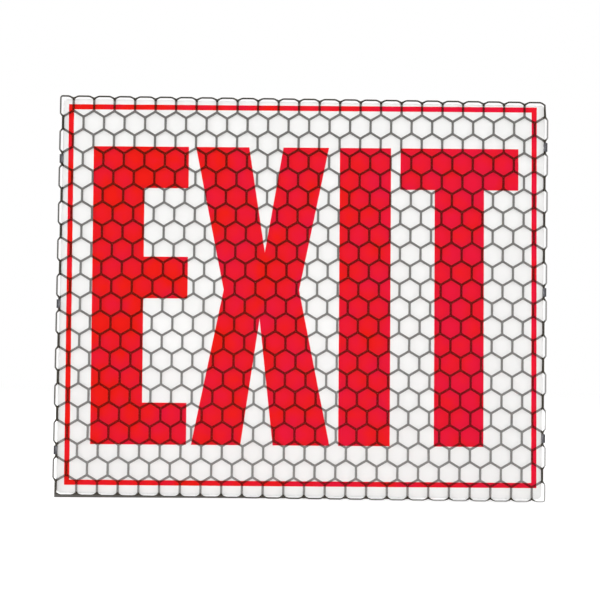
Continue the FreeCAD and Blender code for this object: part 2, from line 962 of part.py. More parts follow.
def make_strap_screws():
    """Screws through the feet of the strap into the plate, short of the wall."""
    seat = plate_sheet + strap_sheet
    return group([screw(at(x, seat, z), OUT, seat - thread_clearance)
                  for x, z in strap_screw_points()])


# Test button

def on_button_axis(z):
    """Point on the axis of the test button."""
    return at(button_x, button_depth, z)


def make_test_button():
    """Push button: a round stem with a collar that keeps it in its bush."""
    stem = rod(button_radius, on_button_axis(button_tip), UP, collar_top - button_tip)
    tip = [edge for edge in stem.Edges
           if all(abs(vertex.Point.z - button_tip) < 1e-6 for vertex in edge.Vertexes)]
    stem = stem.makeFillet(button_edge_radius, tip)
    collar = rod(button_collar_radius, on_button_axis(bush_top), UP, button_collar_thickness)
    spigot = rod(button_spigot_radius, on_button_axis(collar_top), UP, button_spigot_length)
    return stem.fuse([collar, spigot]).removeSplitter()


def make_button_bush():
    """Flanged bush through the bottom wall that guides the button."""
    flange_bottom = floor_outside - button_bush_flange_thickness
    flange = rod(button_bush_flange_radius, on_button_axis(flange_bottom), UP,
                 button_bush_flange_thickness)
    body = rod(button_bush_radius, on_button_axis(flange_bottom), UP, bush_top - flange_bottom)
    bore = rod(button_radius + button_clearance, on_button_axis(flange_bottom), UP,
               bush_top - flange_bottom)
    return flange.fuse(body).removeSplitter().cut(bore)


def make_button_nut():
    """Six-sided nut that clamps the bush from inside."""
    corner_radius = button_nut_size / math.sqrt(3)
    points = [on_button_axis(floor_inside)
              + FreeCAD.Vector(corner_radius * math.cos(math.radians(turn)),
                               corner_radius * math.sin(math.radians(turn)), 0)
              for turn in range(0, 360, 60)]
    nut = Part.Face(Part.makePolygon(points + points[:1])).extrude(UP * button_nut_thickness)
    return nut.cut(rod(button_bush_radius + button_hole_clearance, on_button_axis(floor_inside),
                       UP, button_nut_thickness))


def make_button_spring():
    """Coil spring between the collar and the ceiling of the switch."""
    bottom = collar_top + spring_seat_gap + spring_wire_radius
    rise = spring_length - 2 * (spring_seat_gap + spring_wire_radius)
    path = Part.makeHelix(rise / spring_turns, rise, spring_radius)
    path.translate(on_button_axis(bottom))
    start = path.Edges[0].valueAt(path.Edges[0].FirstParameter)
    heading = path.Edges[0].tangentAt(path.Edges[0].FirstParameter)
    section = Part.Wire([Part.makeCircle(spring_wire_radius, start, heading)])
    return Part.Wire(path.Edges).makePipeShell([section], True, True)


def make_switch_body():
    """Switch block on the nut, open below to the collar and the spring."""
    body = block(around(button_x, switch_size), around(button_depth, switch_size),
                 (nut_top, switch_top))
    cavity_radius = max(button_bush_radius, button_collar_radius) + switch_clearance
    return body.cut(rod(cavity_radius, on_button_axis(nut_top), UP, switch_ceiling - nut_top))


# Charge lamp

def on_lamp_axis(z):
    """Point on the axis of the charge lamp."""
    return at(lamp_x, button_depth, z)


def make_charge_lamp():
    """Domed indicator lamp whose flange sits on the bottom wall inside."""
    tip_height = floor_outside - lamp_stand
    lamp = rod(lamp_radius, on_lamp_axis(tip_height), UP, floor_inside + lamp_length - tip_height)
    tip = [edge for edge in lamp.Edges
           if all(abs(vertex.Point.z - tip_height) < 1e-6 for vertex in edge.Vertexes)]
    lamp = lamp.makeFillet(lamp_edge_radius, tip)
    flange = rod(lamp_flange_radius, on_lamp_axis(floor_inside), UP, lamp_flange_thickness)
    return lamp.fuse(flange).removeSplitter()


def make_lamp_clip():
    """Push-on clip over the lamp flange."""
    clip = rod(lamp_clip_radius, on_lamp_axis(floor_inside), UP, lamp_clip_height)
    bore = rod(lamp_radius + lamp_clearance, on_lamp_axis(floor_inside), UP, lamp_clip_height)
    seat = rod(lamp_flange_radius + lamp_clearance, on_lamp_axis(floor_inside), UP,
               lamp_flange_thickness + lamp_clearance)
    return clip.cut([bore, seat])


# Leads

def make_lead(route):
    """Round lead along straight runs joined by tangent arcs as large as the runs allow."""
    edges = []
    start = route[0]
    for before, point, after in zip(route, route[1:], route[2:]):
        run_in = point - before
        run_out = after - point
        turn = run_in.getAngle(run_out)
        setback = lead_arc_share * min(run_in.Length, run_out.Length)
        radius = setback / math.tan(turn / 2)
        arc_start = point - run_in.normalize() * setback
        arc_end = point + run_out.normalize() * setback
        bisector = (run_out - run_in).normalize()
        middle = point + bisector * (radius / math.cos(turn / 2) - radius)
        edges.append(Part.LineSegment(start, arc_start).toShape())
        edges.append(Part.Arc(arc_start, middle, arc_end).toShape())
        start = arc_end
    edges.append(Part.LineSegment(start, route[-1]).toShape())
    section = Part.Wire([Part.makeCircle(lead_radius, route[0], route[1] - route[0])])
    return Part.Wire(edges).makePipeShell([section], True, False)


def make_switch_lead():
    """Lead from the lowest socket to the side of the switch."""
    z = socket_height(0)
    end_z = switch_ceiling - lead_radius
    return make_lead([
        at(socket_face, socket_middle, z),
        at(socket_face + lead_exit, socket_middle, z),
        at(switch_left - lead_exit, button_depth, end_z),
        at(switch_left, button_depth, end_z),
    ])


def make_battery_lead():
    """Lead from the middle socket to the end of the battery pack."""
    z = socket_height(1)
    end_z = (battery_bottom + battery_top) / 2
    end_depth = plate_sheet + cell_diameter / 2
    return make_lead([
        at(socket_face, socket_middle, z),
        at(socket_face + lead_exit, socket_middle, z),
        at(battery_left - lead_exit, end_depth, end_z),
        at(battery_left, end_depth, end_z),
    ])


def make_led_lead():
    """Lead from the top socket to the socket behind the tray."""
    z = socket_height(2)
    end_depth = tray_floor_back - led_socket_depth / 2
    return make_lead([
        at(socket_face, socket_middle, z),
        at(socket_face + lead_exit, socket_middle, z),
        at(led_socket_x - led_lead_lean, socket_middle, z + led_lead_rise),
        at(led_socket_x, end_depth, led_socket_z - led_lead_entry),
        at(led_socket_x, end_depth, led_socket_z),
    ])


NODES = {
    "housing": make_housing,
    "panel_gasket": make_panel_gasket,
    "legend_panel": make_legend_panel,
    "letter_e": make_letter_e,
    "letter_x": make_letter_x,
    "letter_i": make_letter_i,
    "letter_t": make_letter_t,
    "red_border": make_red_border,
    "hex_guard": make_hex_guard,
    "guard_clips": make_guard_clips,
    "reflector_tray": make_reflector_tray,
    "tray_screws": make_tray_screws,
    "led_board_lower": lambda: make_led_board(-1),
    "led_board_middle": lambda: make_led_board(0),
    "led_board_upper": lambda: make_led_board(1),
    "led_chips": make_led_chips,
    "led_board_screws": make_led_board_screws,
    "led_socket": make_led_socket,
    "back_plate": make_back_plate,
    "side_screws": make_side_screws,
    "cable_bush": make_cable_bush,
    "entry_plug": make_entry_plug,
    "driver_board": make_driver_board,
    "board_standoffs": make_board_standoffs,
    "board_screws": make_board_screws,
    "transformer_core": make_transformer_core,
    "transformer_winding": make_transformer_winding,
    "capacitors": make_capacitors,
    "control_chip": make_control_chip,
    "terminal_block": make_terminal_block,
    "terminal_screws": make_terminal_screws,
    "lead_sockets": make_lead_sockets,
    "battery_pack": make_battery_pack,
    "battery_strap": make_battery_strap,
    "strap_screws": make_strap_screws,
    "test_button": make_test_button,
    "button_bush": make_button_bush,
    "button_nut": make_button_nut,
    "button_spring": make_button_spring,
    "switch_body": make_switch_body,
    "charge_lamp": make_charge_lamp,
    "lamp_clip": make_lamp_clip,
    "switch_lead": make_switch_lead,
    "battery_lead": make_battery_lead,
    "led_lead": make_led_lead,
}

os.makedirs("parts", exist_ok=True)
for name, make in NODES.items():
    make().exportStep(f"parts/{name}.step")
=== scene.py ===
import json
import math

import bmesh
import bpy
from mathutils import Matrix, Vector


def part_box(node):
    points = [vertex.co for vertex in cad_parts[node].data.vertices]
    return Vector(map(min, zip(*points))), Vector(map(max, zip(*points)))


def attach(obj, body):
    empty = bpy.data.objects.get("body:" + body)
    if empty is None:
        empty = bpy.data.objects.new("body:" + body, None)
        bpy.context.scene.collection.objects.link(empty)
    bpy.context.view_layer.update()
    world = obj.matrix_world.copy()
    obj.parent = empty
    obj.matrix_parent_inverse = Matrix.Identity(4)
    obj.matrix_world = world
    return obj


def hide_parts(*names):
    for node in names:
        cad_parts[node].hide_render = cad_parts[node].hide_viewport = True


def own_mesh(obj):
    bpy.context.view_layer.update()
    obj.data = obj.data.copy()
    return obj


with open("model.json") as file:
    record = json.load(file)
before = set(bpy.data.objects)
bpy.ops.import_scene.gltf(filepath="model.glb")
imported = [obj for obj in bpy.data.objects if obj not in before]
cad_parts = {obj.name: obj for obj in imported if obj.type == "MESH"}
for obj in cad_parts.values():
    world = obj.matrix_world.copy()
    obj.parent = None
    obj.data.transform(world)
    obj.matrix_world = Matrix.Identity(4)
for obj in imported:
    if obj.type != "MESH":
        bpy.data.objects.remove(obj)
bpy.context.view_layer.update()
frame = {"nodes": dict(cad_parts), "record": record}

bl_info = {
    "name": "Illuminated exit sign",
    "version": (1, 0, 0),
    "blender": (4, 5, 0),
    "location": "View3D > Sidebar > Exit sign",
    "description": "Dresses the exit sign with its honeycomb guard, fittings, finishes and stage",
    "category": "Object",
}

SIGN = "sign"
BUTTON = "button"
UP = (0.0, 0.0, 1.0)

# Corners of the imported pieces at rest
GUARD_LOW, GUARD_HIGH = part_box("hex_guard")
HOUSING_LOW, HOUSING_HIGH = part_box("housing")
BUSH_LOW, BUSH_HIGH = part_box("button_bush")
BUTTON_LOW, BUTTON_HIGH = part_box("test_button")
SPRING_LOW, SPRING_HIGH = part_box("button_spring")
LAMP_LOW, LAMP_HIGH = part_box("charge_lamp")
PLUG_LOW, PLUG_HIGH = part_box("entry_plug")
GROMMET_LOW, GROMMET_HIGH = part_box("cable_bush")
CLIPS_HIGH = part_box("guard_clips")[1]

# Fineness of the meshes
MERGE = 1e-6
SPOT_DIGITS = 7
SHARP_ANGLE = math.radians(35.0)
CREASE_ANGLE = math.radians(40.0)
CLIP_CREASE_ANGLE = math.radians(60.0)
ROUND_SEGMENTS = 3
LIP_SEGMENTS = 2
LOBE_SEGMENTS = 4
CROWN_SEGMENTS = 3
NODE_SEGMENTS = 2
BEND_SEGMENTS = 4
WIRE_SEGMENTS = 10
TURN_STEPS = 48
SCREW_STEPS = 32
COIL_STEPS = 20
DOME_STEPS = 6

# Outline of a screw head, as shares of its radius and of its height
SCREW_HEAD = ((1.0, 0.45), (0.93, 0.78), (0.75, 0.94), (0.4, 1.0), (0.0, 1.0))
# Outline of the dished tip of the button, both as shares of its radius
BUTTON_TIP = ((0.0, 0.12), (0.45, 0.096), (0.68, 0.0), (0.8, 0.0), (1.0, 0.22))
# Outline of the sunk top of the plug, as shares of its radius and, downward, of the cap's thickness
PLUG_TOP = ((0.0, 0.3), (0.55, 0.3), (0.62, 0.0), (0.9, 0.0), (1.0, 0.3))

# Other shares: the rise of the lamp's dome, the lips of the bushes and the worn edge of a clip
DOME_RISE = 0.5
BUSH_LIP = 0.4
CABLE_LIP = 0.35
CLIP_ROUND = 0.15

# How the slots of the side screws lie
SLOT_LIE = (0.0, 0.3, 1.0)

# From the edge of the button's collar to the middle of the spring's wire
SPRING_INSET = 0.0013

# Opacity of the guard, and how far from the outline of the housing it changes
FACE_DENSITY_LOW = 0.34
FACE_DENSITY_HIGH = 0.43
RIM_DENSITY = 0.78
LEFT_FADE = 0.17
RIGHT_FADE = 0.36
# The foot's opacity is painted shadow under the bottom edge: darkest at the left, running out to the right
SHADOW_FOOT_FADE = 0.10
SHADOW_RUNOUT_FADE = 0.48
SHADOW_RUNOUT_SHARE = 0.7
NOTCH_BAND = 0.0006
LOBE_BAND = 0.00075
SHADOW_FOOT_BAND = 0.0006
DENSITY_EDGE = 0.0003

# Part of a cloudy pattern that is spread out, and how much finer the gloss varies than the colour
CLOUD_LOW = 0.3
CLOUD_HIGH = 0.7
GLOSS_FINENESS = 3.0

# How the red of the legend leans to warm and to cool, and its drift from left to right
WARM_INK = (1.03, 1.2, 0.7)
COOL_INK = (0.98, 0.9, 4.4)
INK_DRIFT = (-0.14, 0.16)

# Stage: each light has a name, a place, a width and a share of the key power
LIGHTS = (
    ("front_light", (-0.06, -2.0, 0.07), 0.7, 1.0),
    ("left_light", (-1.5, -1.2, 0.7), 1.2, 0.25),
    ("right_light", (1.5, -1.1, 0.6), 1.2, 0.2),
    ("top_light", (0.0, -0.2, 1.8), 1.2, 0.25),
    ("rear_light", (0.6, 1.8, 0.8), 1.4, 0.4),
)
SEEN_BY = ("Is Camera Ray", "Is Glossy Ray", "Is Transmission Ray")
WHITE = (1.0, 1.0, 1.0, 1.0)
FLOOR_RADIUS = 6.0
FLOOR_SEGMENTS = 96
FLOOR_GAP = 0.0002
FLOOR_GLOW = 0.85
SENSOR_WIDTH = 36.0
NEAREST_SEEN = 0.05
FURTHEST_SEEN = 50.0


def number(name, description, default, **limits):
    """Property for a number, an angle or a place."""
    return bpy.props.FloatProperty(name=name, description=description, default=default, **limits)


def length(name, description, default):
    """Property for a size in metres."""
    return number(name, description, default, min=0.0, unit="LENGTH", precision=5)


def count(name, description, default):
    """Property for a number of like things."""
    return bpy.props.IntProperty(name=name, description=description, default=default, min=1)


def colour(name, description, default):
    """Property for a colour."""
    return bpy.props.FloatVectorProperty(name=name, description=description, subtype="COLOR",
                                         size=3, min=0.0, max=1.0, default=default)


class ExitGuardSizes(bpy.types.PropertyGroup):
    """Sizes of the honeycomb guard and its clips."""

    columns: count("Columns", "Cells in each row", 24)
    rows: count("Rows", "Rows of cells", 22)
    bar_width: length("Bar width", "Width of the bars in front", 0.0012)
    rim_edge: length("Rim edge", "Outer part of the bars along the rim", 0.00025)
    node_round: length("Node rounding", "Rounding where three bars meet", 0.0005)
    lobe_half_height: length("Lobe half height", "Half height of the lobes at the sides", 0.0048)
    lobe_round: length("Lobe rounding", "Rounding of the corners of the lobes", 0.0009)
    crown_corner: length("Crown corner", "From a notch to the flat of a scallop", 0.0020)
    crown_round: length("Crown rounding", "Rounding of the scallops", 0.0009)
    foot_rise: length("Foot rise", "Depth of the scallops along the bottom", 0.0012)
    # The foot is a dark strip of painted shadow under the bottom edge, running out to the right
    shadow_foot_length: length("Foot length", "From the left end to where the foot runs out", 0.085)
    rim_corner: length("Rim corner", "Cut at the two full corners of the rim", 0.0007)
    notch_fill: length("Notch fill", "Extra width of the bars where the rim steps in", 0.00035)
    edge_round: length("Edge rounding", "Rounding along the front edges of the bars", 0.00012)
    clip_count: count("Clips", "Clips on each side", 3)
    clip_width: length("Clip width", "Width of a clip along the rim", 0.0044)
    clip_sheet: length("Clip sheet", "Thickness of the clip steel", 0.0007)
    clip_bite: length("Clip bite", "How far a clip reaches into the housing wall", 0.0014)
    clip_bend: length("Clip bend", "Inside radius of the bends of a clip", 0.0003)


class ExitFittingSizes(bpy.types.PropertyGroup):
    """Sizes of the screws, the button, the lamp, the plug and the cable bush."""

    head_radius: length("Screw head radius", "Radius of a screw head", 0.0027)
    head_height: length("Screw head height", "Height of a screw head", 0.0015)
    shank_radius: length("Screw shank radius", "Radius of a screw shank", 0.00145)
    shank_length: length("Screw shank length", "From the head to the end of a screw", 0.006)
    slot_width: length("Slot width", "Width of a screw slot", 0.0008)
    slot_depth: length("Slot depth", "Depth of a screw slot", 0.0007)
    screw_depth: length("Screw depth", "From the wall to the middle of a side screw", 0.006)
    screw_spread: length("Screw spread", "From the middle of a side to a screw", 0.06)
    button_radius: length("Button radius", "Radius of the test button", 0.0025)
    collar_radius: length("Collar radius", "Radius of the collar on the button", 0.0035)
    collar_thickness: length("Collar thickness", "Thickness of the collar", 0.0015)
    spigot_radius: length("Spigot radius", "Radius of the spring spigot", 0.0012)
    spigot_length: length("Spigot length", "Length of the spring spigot", 0.003)
    spring_wire: length("Spring wire", "Radius of the wire of the spring", 0.00025)
    spring_turns: count("Spring turns", "Turns of the spring", 5)
    travel: length("Button travel", "How far the button presses the spring", 0.0012)
    bush_radius: length("Bush radius", "Radius of the bush in the wall", 0.0041)
    bush_bore: length("Bush bore", "Radius of the bore of the bush", 0.0026)
    bush_flange: length("Bush flange", "Thickness of the flange of the bush", 0.0004)
    lamp_radius: length("Lamp radius", "Radius of the charge lamp", 0.0024)
    lamp_flange: length("Lamp flange", "Thickness of the flange of the lamp", 0.001)
    wall: length("Housing wall", "Thickness of the wall that the lamp stands in", 0.0022)
    plug_radius: length("Plug radius", "Radius of the conduit plug in the wall", 0.0079)
    plug_wall: length("Plug wall", "Wall of the conduit plug", 0.0014)
    plug_cap: length("Plug cap", "Thickness of the cap of the plug", 0.0012)
    cable_bore: length("Cable bore", "Radius of the bore of the cable bush", 0.0085)
    cable_neck: length("Cable neck", "Radius of the cable bush in the plate", 0.011)
    cable_flange: length("Cable flange", "Thickness of the flange of the cable bush", 0.0015)
    edge_round: length("Edge rounding", "Rounding along the edges of small fittings", 0.0002)


class ExitColours(bpy.types.PropertyGroup):
    """Colours of the finishes."""

    housing: colour("Housing", "Moulded white plastic", (0.80, 0.80, 0.78))
    panel: colour("Panel", "Opal legend panel", (0.87, 0.87, 0.86))
    film: colour("Film", "Red legend film", (0.82, 0.0085, 0.009))
    guard: colour("Guard", "Smoke tint of the guard", (0.022, 0.014, 0.004))
    clip: colour("Clips", "Blackened spring steel", (0.05, 0.05, 0.055))
    foam: colour("Seal", "Foam seal", (0.04, 0.04, 0.042))
    reflector: colour("Reflector", "White paint of the light box", (0.85, 0.85, 0.83))
    lamp_board: colour("Lamp boards", "White mask of the lamp boards", (0.78, 0.79, 0.77))
    phosphor: colour("Lamps", "Phosphor of the lamps", (0.75, 0.55, 0.12))
    zinc: colour("Plate", "Zinc-coated steel sheet", (0.47, 0.49, 0.51))
    steel: colour("Screws", "Plated steel", (0.66, 0.65, 0.62))
    black: colour("Black plastic", "Black moulded plastic", (0.018, 0.018, 0.019))
    board: colour("Driver board", "Green mask of the driver board", (0.012, 0.12, 0.035))
    nylon: colour("Pillars", "Natural nylon", (0.72, 0.70, 0.62))
    ferrite: colour("Core", "Sintered ferrite", (0.035, 0.034, 0.035))
    tape: colour("Winding", "Yellow winding tape", (0.72, 0.48, 0.05))
    sleeve: colour("Capacitors", "Dark capacitor sleeve", (0.016, 0.018, 0.05))
    terminal: colour("Terminals", "Green terminal plastic", (0.02, 0.22, 0.06))
    wrap: colour("Battery", "Blue battery wrap", (0.02, 0.09, 0.32))
    button: colour("Button", "Red button plastic", (0.55, 0.012, 0.01))
    chrome: colour("Bush", "Bright plated bush", (0.75, 0.75, 0.76))
    lens: colour("Lamp", "Green lens of the charge lamp", (0.02, 0.42, 0.08))
    lead_red: colour("Battery lead", "Red lead", (0.5, 0.015, 0.012))
    lead_grey: colour("Other leads", "Grey leads", (0.22, 0.22, 0.23))


class ExitStage(bpy.types.PropertyGroup):
    """Camera and light."""

    lens: number("Lens", "Focal length in millimetres", 100.0, min=1.0)
    frame_width: length("Frame width", "Width of the picture at the front of the guard", 0.30603)
    offset_x: number("Offset across", "Camera to the right of the middle of the sign", -0.00076,
                     unit="LENGTH")
    offset_z: number("Offset up", "Camera above the middle of the sign", -0.000755, unit="LENGTH")
    elevation: number("Elevation", "Camera above the sign", math.radians(-2.5), subtype="ANGLE")
    roll: number("Roll", "Turn of the camera about its view", math.radians(0.82), subtype="ANGLE")
    floor: colour("Floor", "Pale floor", (0.88, 0.88, 0.88))
    ambient: number("Ambient", "Even light from all round", 0.16, min=0.0)
    key_power: number("Key", "Power of the front light in watts", 26.4, min=0.0)


# Node helpers


def fill(node, values):
    """Sets inputs of a node by name."""
    for name, value in values.items():
        node.inputs[name].default_value = value


def shader_of(material):
    """Main shader of a material."""
    return material.node_tree.nodes["Principled BSDF"]


def surface(name, **plain):
    """New node material; plain values, such as Coat_Weight, are the same all over."""
    material = bpy.data.materials.new(name)
    material.use_nodes = True
    fill(shader_of(material), {socket.replace("_", " "): value for socket, value in plain.items()})
    return material


def add(material, kind, values=None, **settings):
    """New node with its settings and the values of its inputs."""
    node = material.node_tree.nodes.new(kind)
    for name, value in settings.items():
        setattr(node, name, value)
    fill(node, values or {})
    return node


def join(material, source, target):
    """Link between two sockets."""
    material.node_tree.links.new(source, target)


def feed(material, source, socket):
    """Link to an input of the main shader."""
    join(material, source, shader_of(material).inputs[socket])


def place(material, stretch=(1.0, 1.0, 1.0)):
    """Object coordinates, stretched along the axes of the part."""
    coordinates = add(material, "ShaderNodeTexCoord")
    mapping = add(material, "ShaderNodeMapping", {"Scale": stretch})
    join(material, coordinates.outputs["Object"], mapping.inputs["Vector"])
    return mapping.outputs["Vector"]


def grain(material, scale, detail=3.0, roughness=0.5, stretch=(1.0, 1.0, 1.0)):
    """Cloudy pattern of a scale in waves to the metre."""
    noise = add(material, "ShaderNodeTexNoise",
                {"Scale": scale, "Detail": detail, "Roughness": roughness})
    join(material, place(material, stretch), noise.inputs["Vector"])
    return noise.outputs["Fac"]


def crystals(material, scale, feature="F1", output="Color", stretch=(1.0, 1.0, 1.0)):
    """Cell pattern of a scale in cells to the metre."""
    cells = add(material, "ShaderNodeTexVoronoi", {"Scale": scale}, feature=feature)
    join(material, place(material, stretch), cells.inputs["Vector"])
    return cells.outputs[output]


def bands(material, scale, direction, distortion=0.0):
    """Parallel bands of a scale in waves to the metre."""
    wave = add(material, "ShaderNodeTexWave", {"Scale": scale, "Distortion": distortion},
               bands_direction=direction)
    join(material, place(material), wave.inputs["Vector"])
    return wave.outputs["Fac"]


def along(material, direction):
    """Place along one axis of the part, in metres."""
    split = add(material, "ShaderNodeSeparateXYZ")
    join(material, place(material), split.inputs["Vector"])
    return split.outputs[direction]


def combined(material, operation, first, second):
    """Two factors put together by a sum, a product or the like."""
    node = add(material, "ShaderNodeMath", operation=operation)
    join(material, first, node.inputs[0])
    join(material, second, node.inputs[1])
    return node.outputs["Value"]


def largest(material, first, *others):
    """Largest of some factors."""
    for other in others:
        first = combined(material, "MAXIMUM", first, other)
    return first


def level(material, factor, low, high, start=CLOUD_LOW, end=CLOUD_HIGH):
    """Factor spread between two values."""
    spread = add(material, "ShaderNodeMapRange",
                 {"From Min": start, "From Max": end, "To Min": low, "To Max": high})
    join(material, factor, spread.inputs["Value"])
    return spread.outputs["Result"]


def toward(material, direction, end):
    """Factor that grows from 0 to 1 just before a distance from the middle, on both sides."""
    distance = add(material, "ShaderNodeMath", operation="ABSOLUTE")
    join(material, along(material, direction), distance.inputs[0])
    return level(material, distance.outputs["Value"], 0.0, 1.0, end - DENSITY_EDGE, end)


def paint(material, factor, dark, light, start=CLOUD_LOW, end=CLOUD_HIGH):
    """Base colour spread between two tones by a factor."""
    ramp = add(material, "ShaderNodeValToRGB")
    for stop, position, tone in zip(ramp.color_ramp.elements, (start, end), (dark, light)):
        stop.position = position
        stop.color = (*tone, 1.0)
    join(material, factor, ramp.inputs["Fac"])
    feed(material, ramp.outputs["Color"], "Base Color")


def gloss(material, factor, low, high, start=CLOUD_LOW, end=CLOUD_HIGH):
    """Roughness spread between two values by a factor."""
    feed(material, level(material, factor, low, high, start, end), "Roughness")


def relief(material, height, depth, strength, below=None):
    """Raised and sunken detail, over earlier detail where there is some."""
    bump = add(material, "ShaderNodeBump", {"Strength": strength, "Distance": depth})
    join(material, height, bump.inputs["Height"])
    if below is not None:
        join(material, below, bump.inputs["Normal"])
    feed(material, bump.outputs["Normal"], "Normal")
    return bump.outputs["Normal"]


def shade(tone, share):
    """Colour made darker or lighter by a share."""
    return tuple(min(1.0, channel * share) for channel in tone)


def textured(name, tone, patches, spread, rough, texture, depth, strength, **plain):
    """Finish with a slightly uneven colour and gloss and a fine texture; patches and texture are grains."""
    material = surface(name, **plain)
    paint(material, grain(material, patches), shade(tone, 1.0 - spread), shade(tone, 1.0 + spread))
    gloss(material, grain(material, patches * GLOSS_FINENESS), *rough)
    relief(material, grain(material, *texture), depth, strength)
    return material


# Finishes


def housing_plastic(tones):
    """White moulded plastic with a spark-eroded texture."""
    return textured("housing_plastic", tones.housing, patches=14.0, spread=0.02, rough=(0.42, 0.54),
                    texture=(2600.0, 2.0), depth=0.00004, strength=0.5)


def opal_panel(tones):
    """Opal sheet with a soft gloss and faint waves."""
    return textured("opal_panel", tones.panel, patches=9.0, spread=0.008, rough=(0.34, 0.44),
                    texture=(60.0, 1.0), depth=0.00005, strength=0.15, Specular_IOR_Level=0.2)


def red_film(tones):
    """Red film with a mottled ink that turns cooler to the right, and a fine orange peel."""
    material = surface("red_film", Specular_IOR_Level=0.04)
    warm = [channel * lean for channel, lean in zip(tones.film, WARM_INK)]
    cool = [channel * lean for channel, lean in zip(tones.film, COOL_INK)]
    drift = level(material, along(material, "X"), *INK_DRIFT, HOUSING_LOW.x, HOUSING_HIGH.x)
    paint(material, combined(material, "ADD", grain(material, 75.0, 2.0), drift), warm, cool)
    gloss(material, grain(material, 90.0), 0.6, 0.7)
    relief(material, grain(material, 420.0, 2.0), depth=0.00003, strength=0.25)
    return material


def guard_density(material):
    """Opacity of the guard: low on the face, high at the rim, fading in its thin outer parts; on the foot
    it is painted shadow, darkest at the left.
    """
    x = along(material, "X")
    z = along(material, "Z")
    left_end = -HOUSING_HIGH.x - LOBE_BAND
    right_end = HOUSING_HIGH.x + LOBE_BAND
    shadow_foot_end = -HOUSING_HIGH.z - SHADOW_FOOT_BAND
    face = level(material, z, FACE_DENSITY_LOW, FACE_DENSITY_HIGH, HOUSING_LOW.z, HOUSING_HIGH.z)
    rim = largest(material, toward(material, "X", HOUSING_HIGH.x - NOTCH_BAND),
                  toward(material, "Z", HOUSING_HIGH.z - NOTCH_BAND))
    left = level(material, x, LEFT_FADE, 0.0, left_end - DENSITY_EDGE, left_end)
    right = level(material, x, 0.0, RIGHT_FADE, right_end, right_end + DENSITY_EDGE)
    # Painted shadow: the foot is nearly solid at the left and thins out to the right
    at_shadow_foot = level(material, z, 1.0, 0.0, shadow_foot_end - DENSITY_EDGE, shadow_foot_end)
    shadow_runout = level(material, x, SHADOW_FOOT_FADE, SHADOW_RUNOUT_FADE, 0.0, HOUSING_HIGH.x * SHADOW_RUNOUT_SHARE)
    fade = largest(material, left, right, combined(material, "MULTIPLY", at_shadow_foot, shadow_runout))
    kept = level(material, fade, RIM_DENSITY, 0.0, 0.0, RIM_DENSITY)
    return largest(material, face, combined(material, "MULTIPLY", rim, kept))


def guard_plastic(tones):
    """Smoke-tinted plastic, see-through on the face and nearly solid where the rim is thicker."""
    material = textured("guard_plastic", tones.guard, patches=45.0, spread=0.22, rough=(0.7, 0.8),
                        texture=(3000.0, 2.0), depth=0.00003, strength=0.4, Specular_IOR_Level=0.05)
    feed(material, guard_density(material), "Alpha")
    return material


def clip_steel(tones):
    """Blackened spring steel with worn patches."""
    material = surface("clip_steel", Metallic=0.8)
    wear = grain(material, 900.0, 4.0, 0.65)
    paint(material, wear, tones.clip, shade(tones.clip, 3.2), 0.55, 0.8)
    gloss(material, wear, 0.34, 0.52)
    relief(material, grain(material, 2400.0, 2.0), depth=0.00002, strength=0.3)
    return material


def foam_seal(tones):
    """Closed-cell foam."""
    material = surface("foam_seal", Roughness=0.95)
    pores = crystals(material, 1500.0, output="Distance")
    paint(material, pores, shade(tones.foam, 0.6), shade(tones.foam, 1.5), 0.1, 0.6)
    relief(material, pores, depth=0.00015, strength=0.8)
    return material


def reflector_white(tones):
    """Matt white powder coat."""
    return textured("reflector_white", tones.reflector, patches=20.0, spread=0.012, rough=(0.62, 0.74),
                    texture=(700.0, 3.0), depth=0.00006, strength=0.35)


def lamp_board(tones):
    """White board mask over faint copper tracks."""
    material = surface("lamp_board")
    tracks = bands(material, 160.0, "Z", 0.6)
    paint(material, tracks, shade(tones.lamp_board, 0.9), tones.lamp_board, 0.4, 0.6)
    gloss(material, grain(material, 200.0), 0.35, 0.5)
    relief(material, tracks, depth=0.00005, strength=0.4)
    return material


def lamp_chip(tones):
    """Yellow phosphor under clear resin."""
    return textured("lamp_chip", tones.phosphor, patches=1800.0, spread=0.18, rough=(0.15, 0.3),
                    texture=(2500.0,), depth=0.00003, strength=0.3, Coat_Weight=0.6)


def zinc_steel(tones):
    """Zinc-coated sheet with its spangle and fine rolling lines."""
    material = surface("zinc_steel", Metallic=0.85)
    grey = add(material, "ShaderNodeRGBToBW")
    join(material, crystals(material, 240.0), grey.inputs["Color"])
    facets = grey.outputs["Val"]
    paint(material, facets, shade(tones.zinc, 0.92), shade(tones.zinc, 1.05), 0.2, 0.8)
    gloss(material, facets, 0.42, 0.52, 0.2, 0.8)
    spangle = relief(material, facets, depth=0.00002, strength=0.1)
    rolling = grain(material, 260.0, 3.0, 0.6, (1.0, 1.0, 12.0))
    relief(material, rolling, depth=0.00003, strength=0.25, below=spangle)
    return material


def screw_steel(tones):
    """Plated steel with turning marks and small stains."""
    material = surface("screw_steel", Metallic=1.0)
    stains = grain(material, 1400.0, 4.0, 0.6)
    paint(material, stains, shade(tones.steel, 0.7), shade(tones.steel, 1.1))
    gloss(material, stains, 0.42, 0.26)
    relief(material, grain(material, 5000.0, 2.0), depth=0.00001, strength=0.3)
    return material


def black_plastic(tones):
    """Black moulded plastic with a fine grain."""
    return textured("black_plastic", tones.black, patches=120.0, spread=0.2, rough=(0.4, 0.55),
                    texture=(3200.0, 2.0), depth=0.00003, strength=0.4)


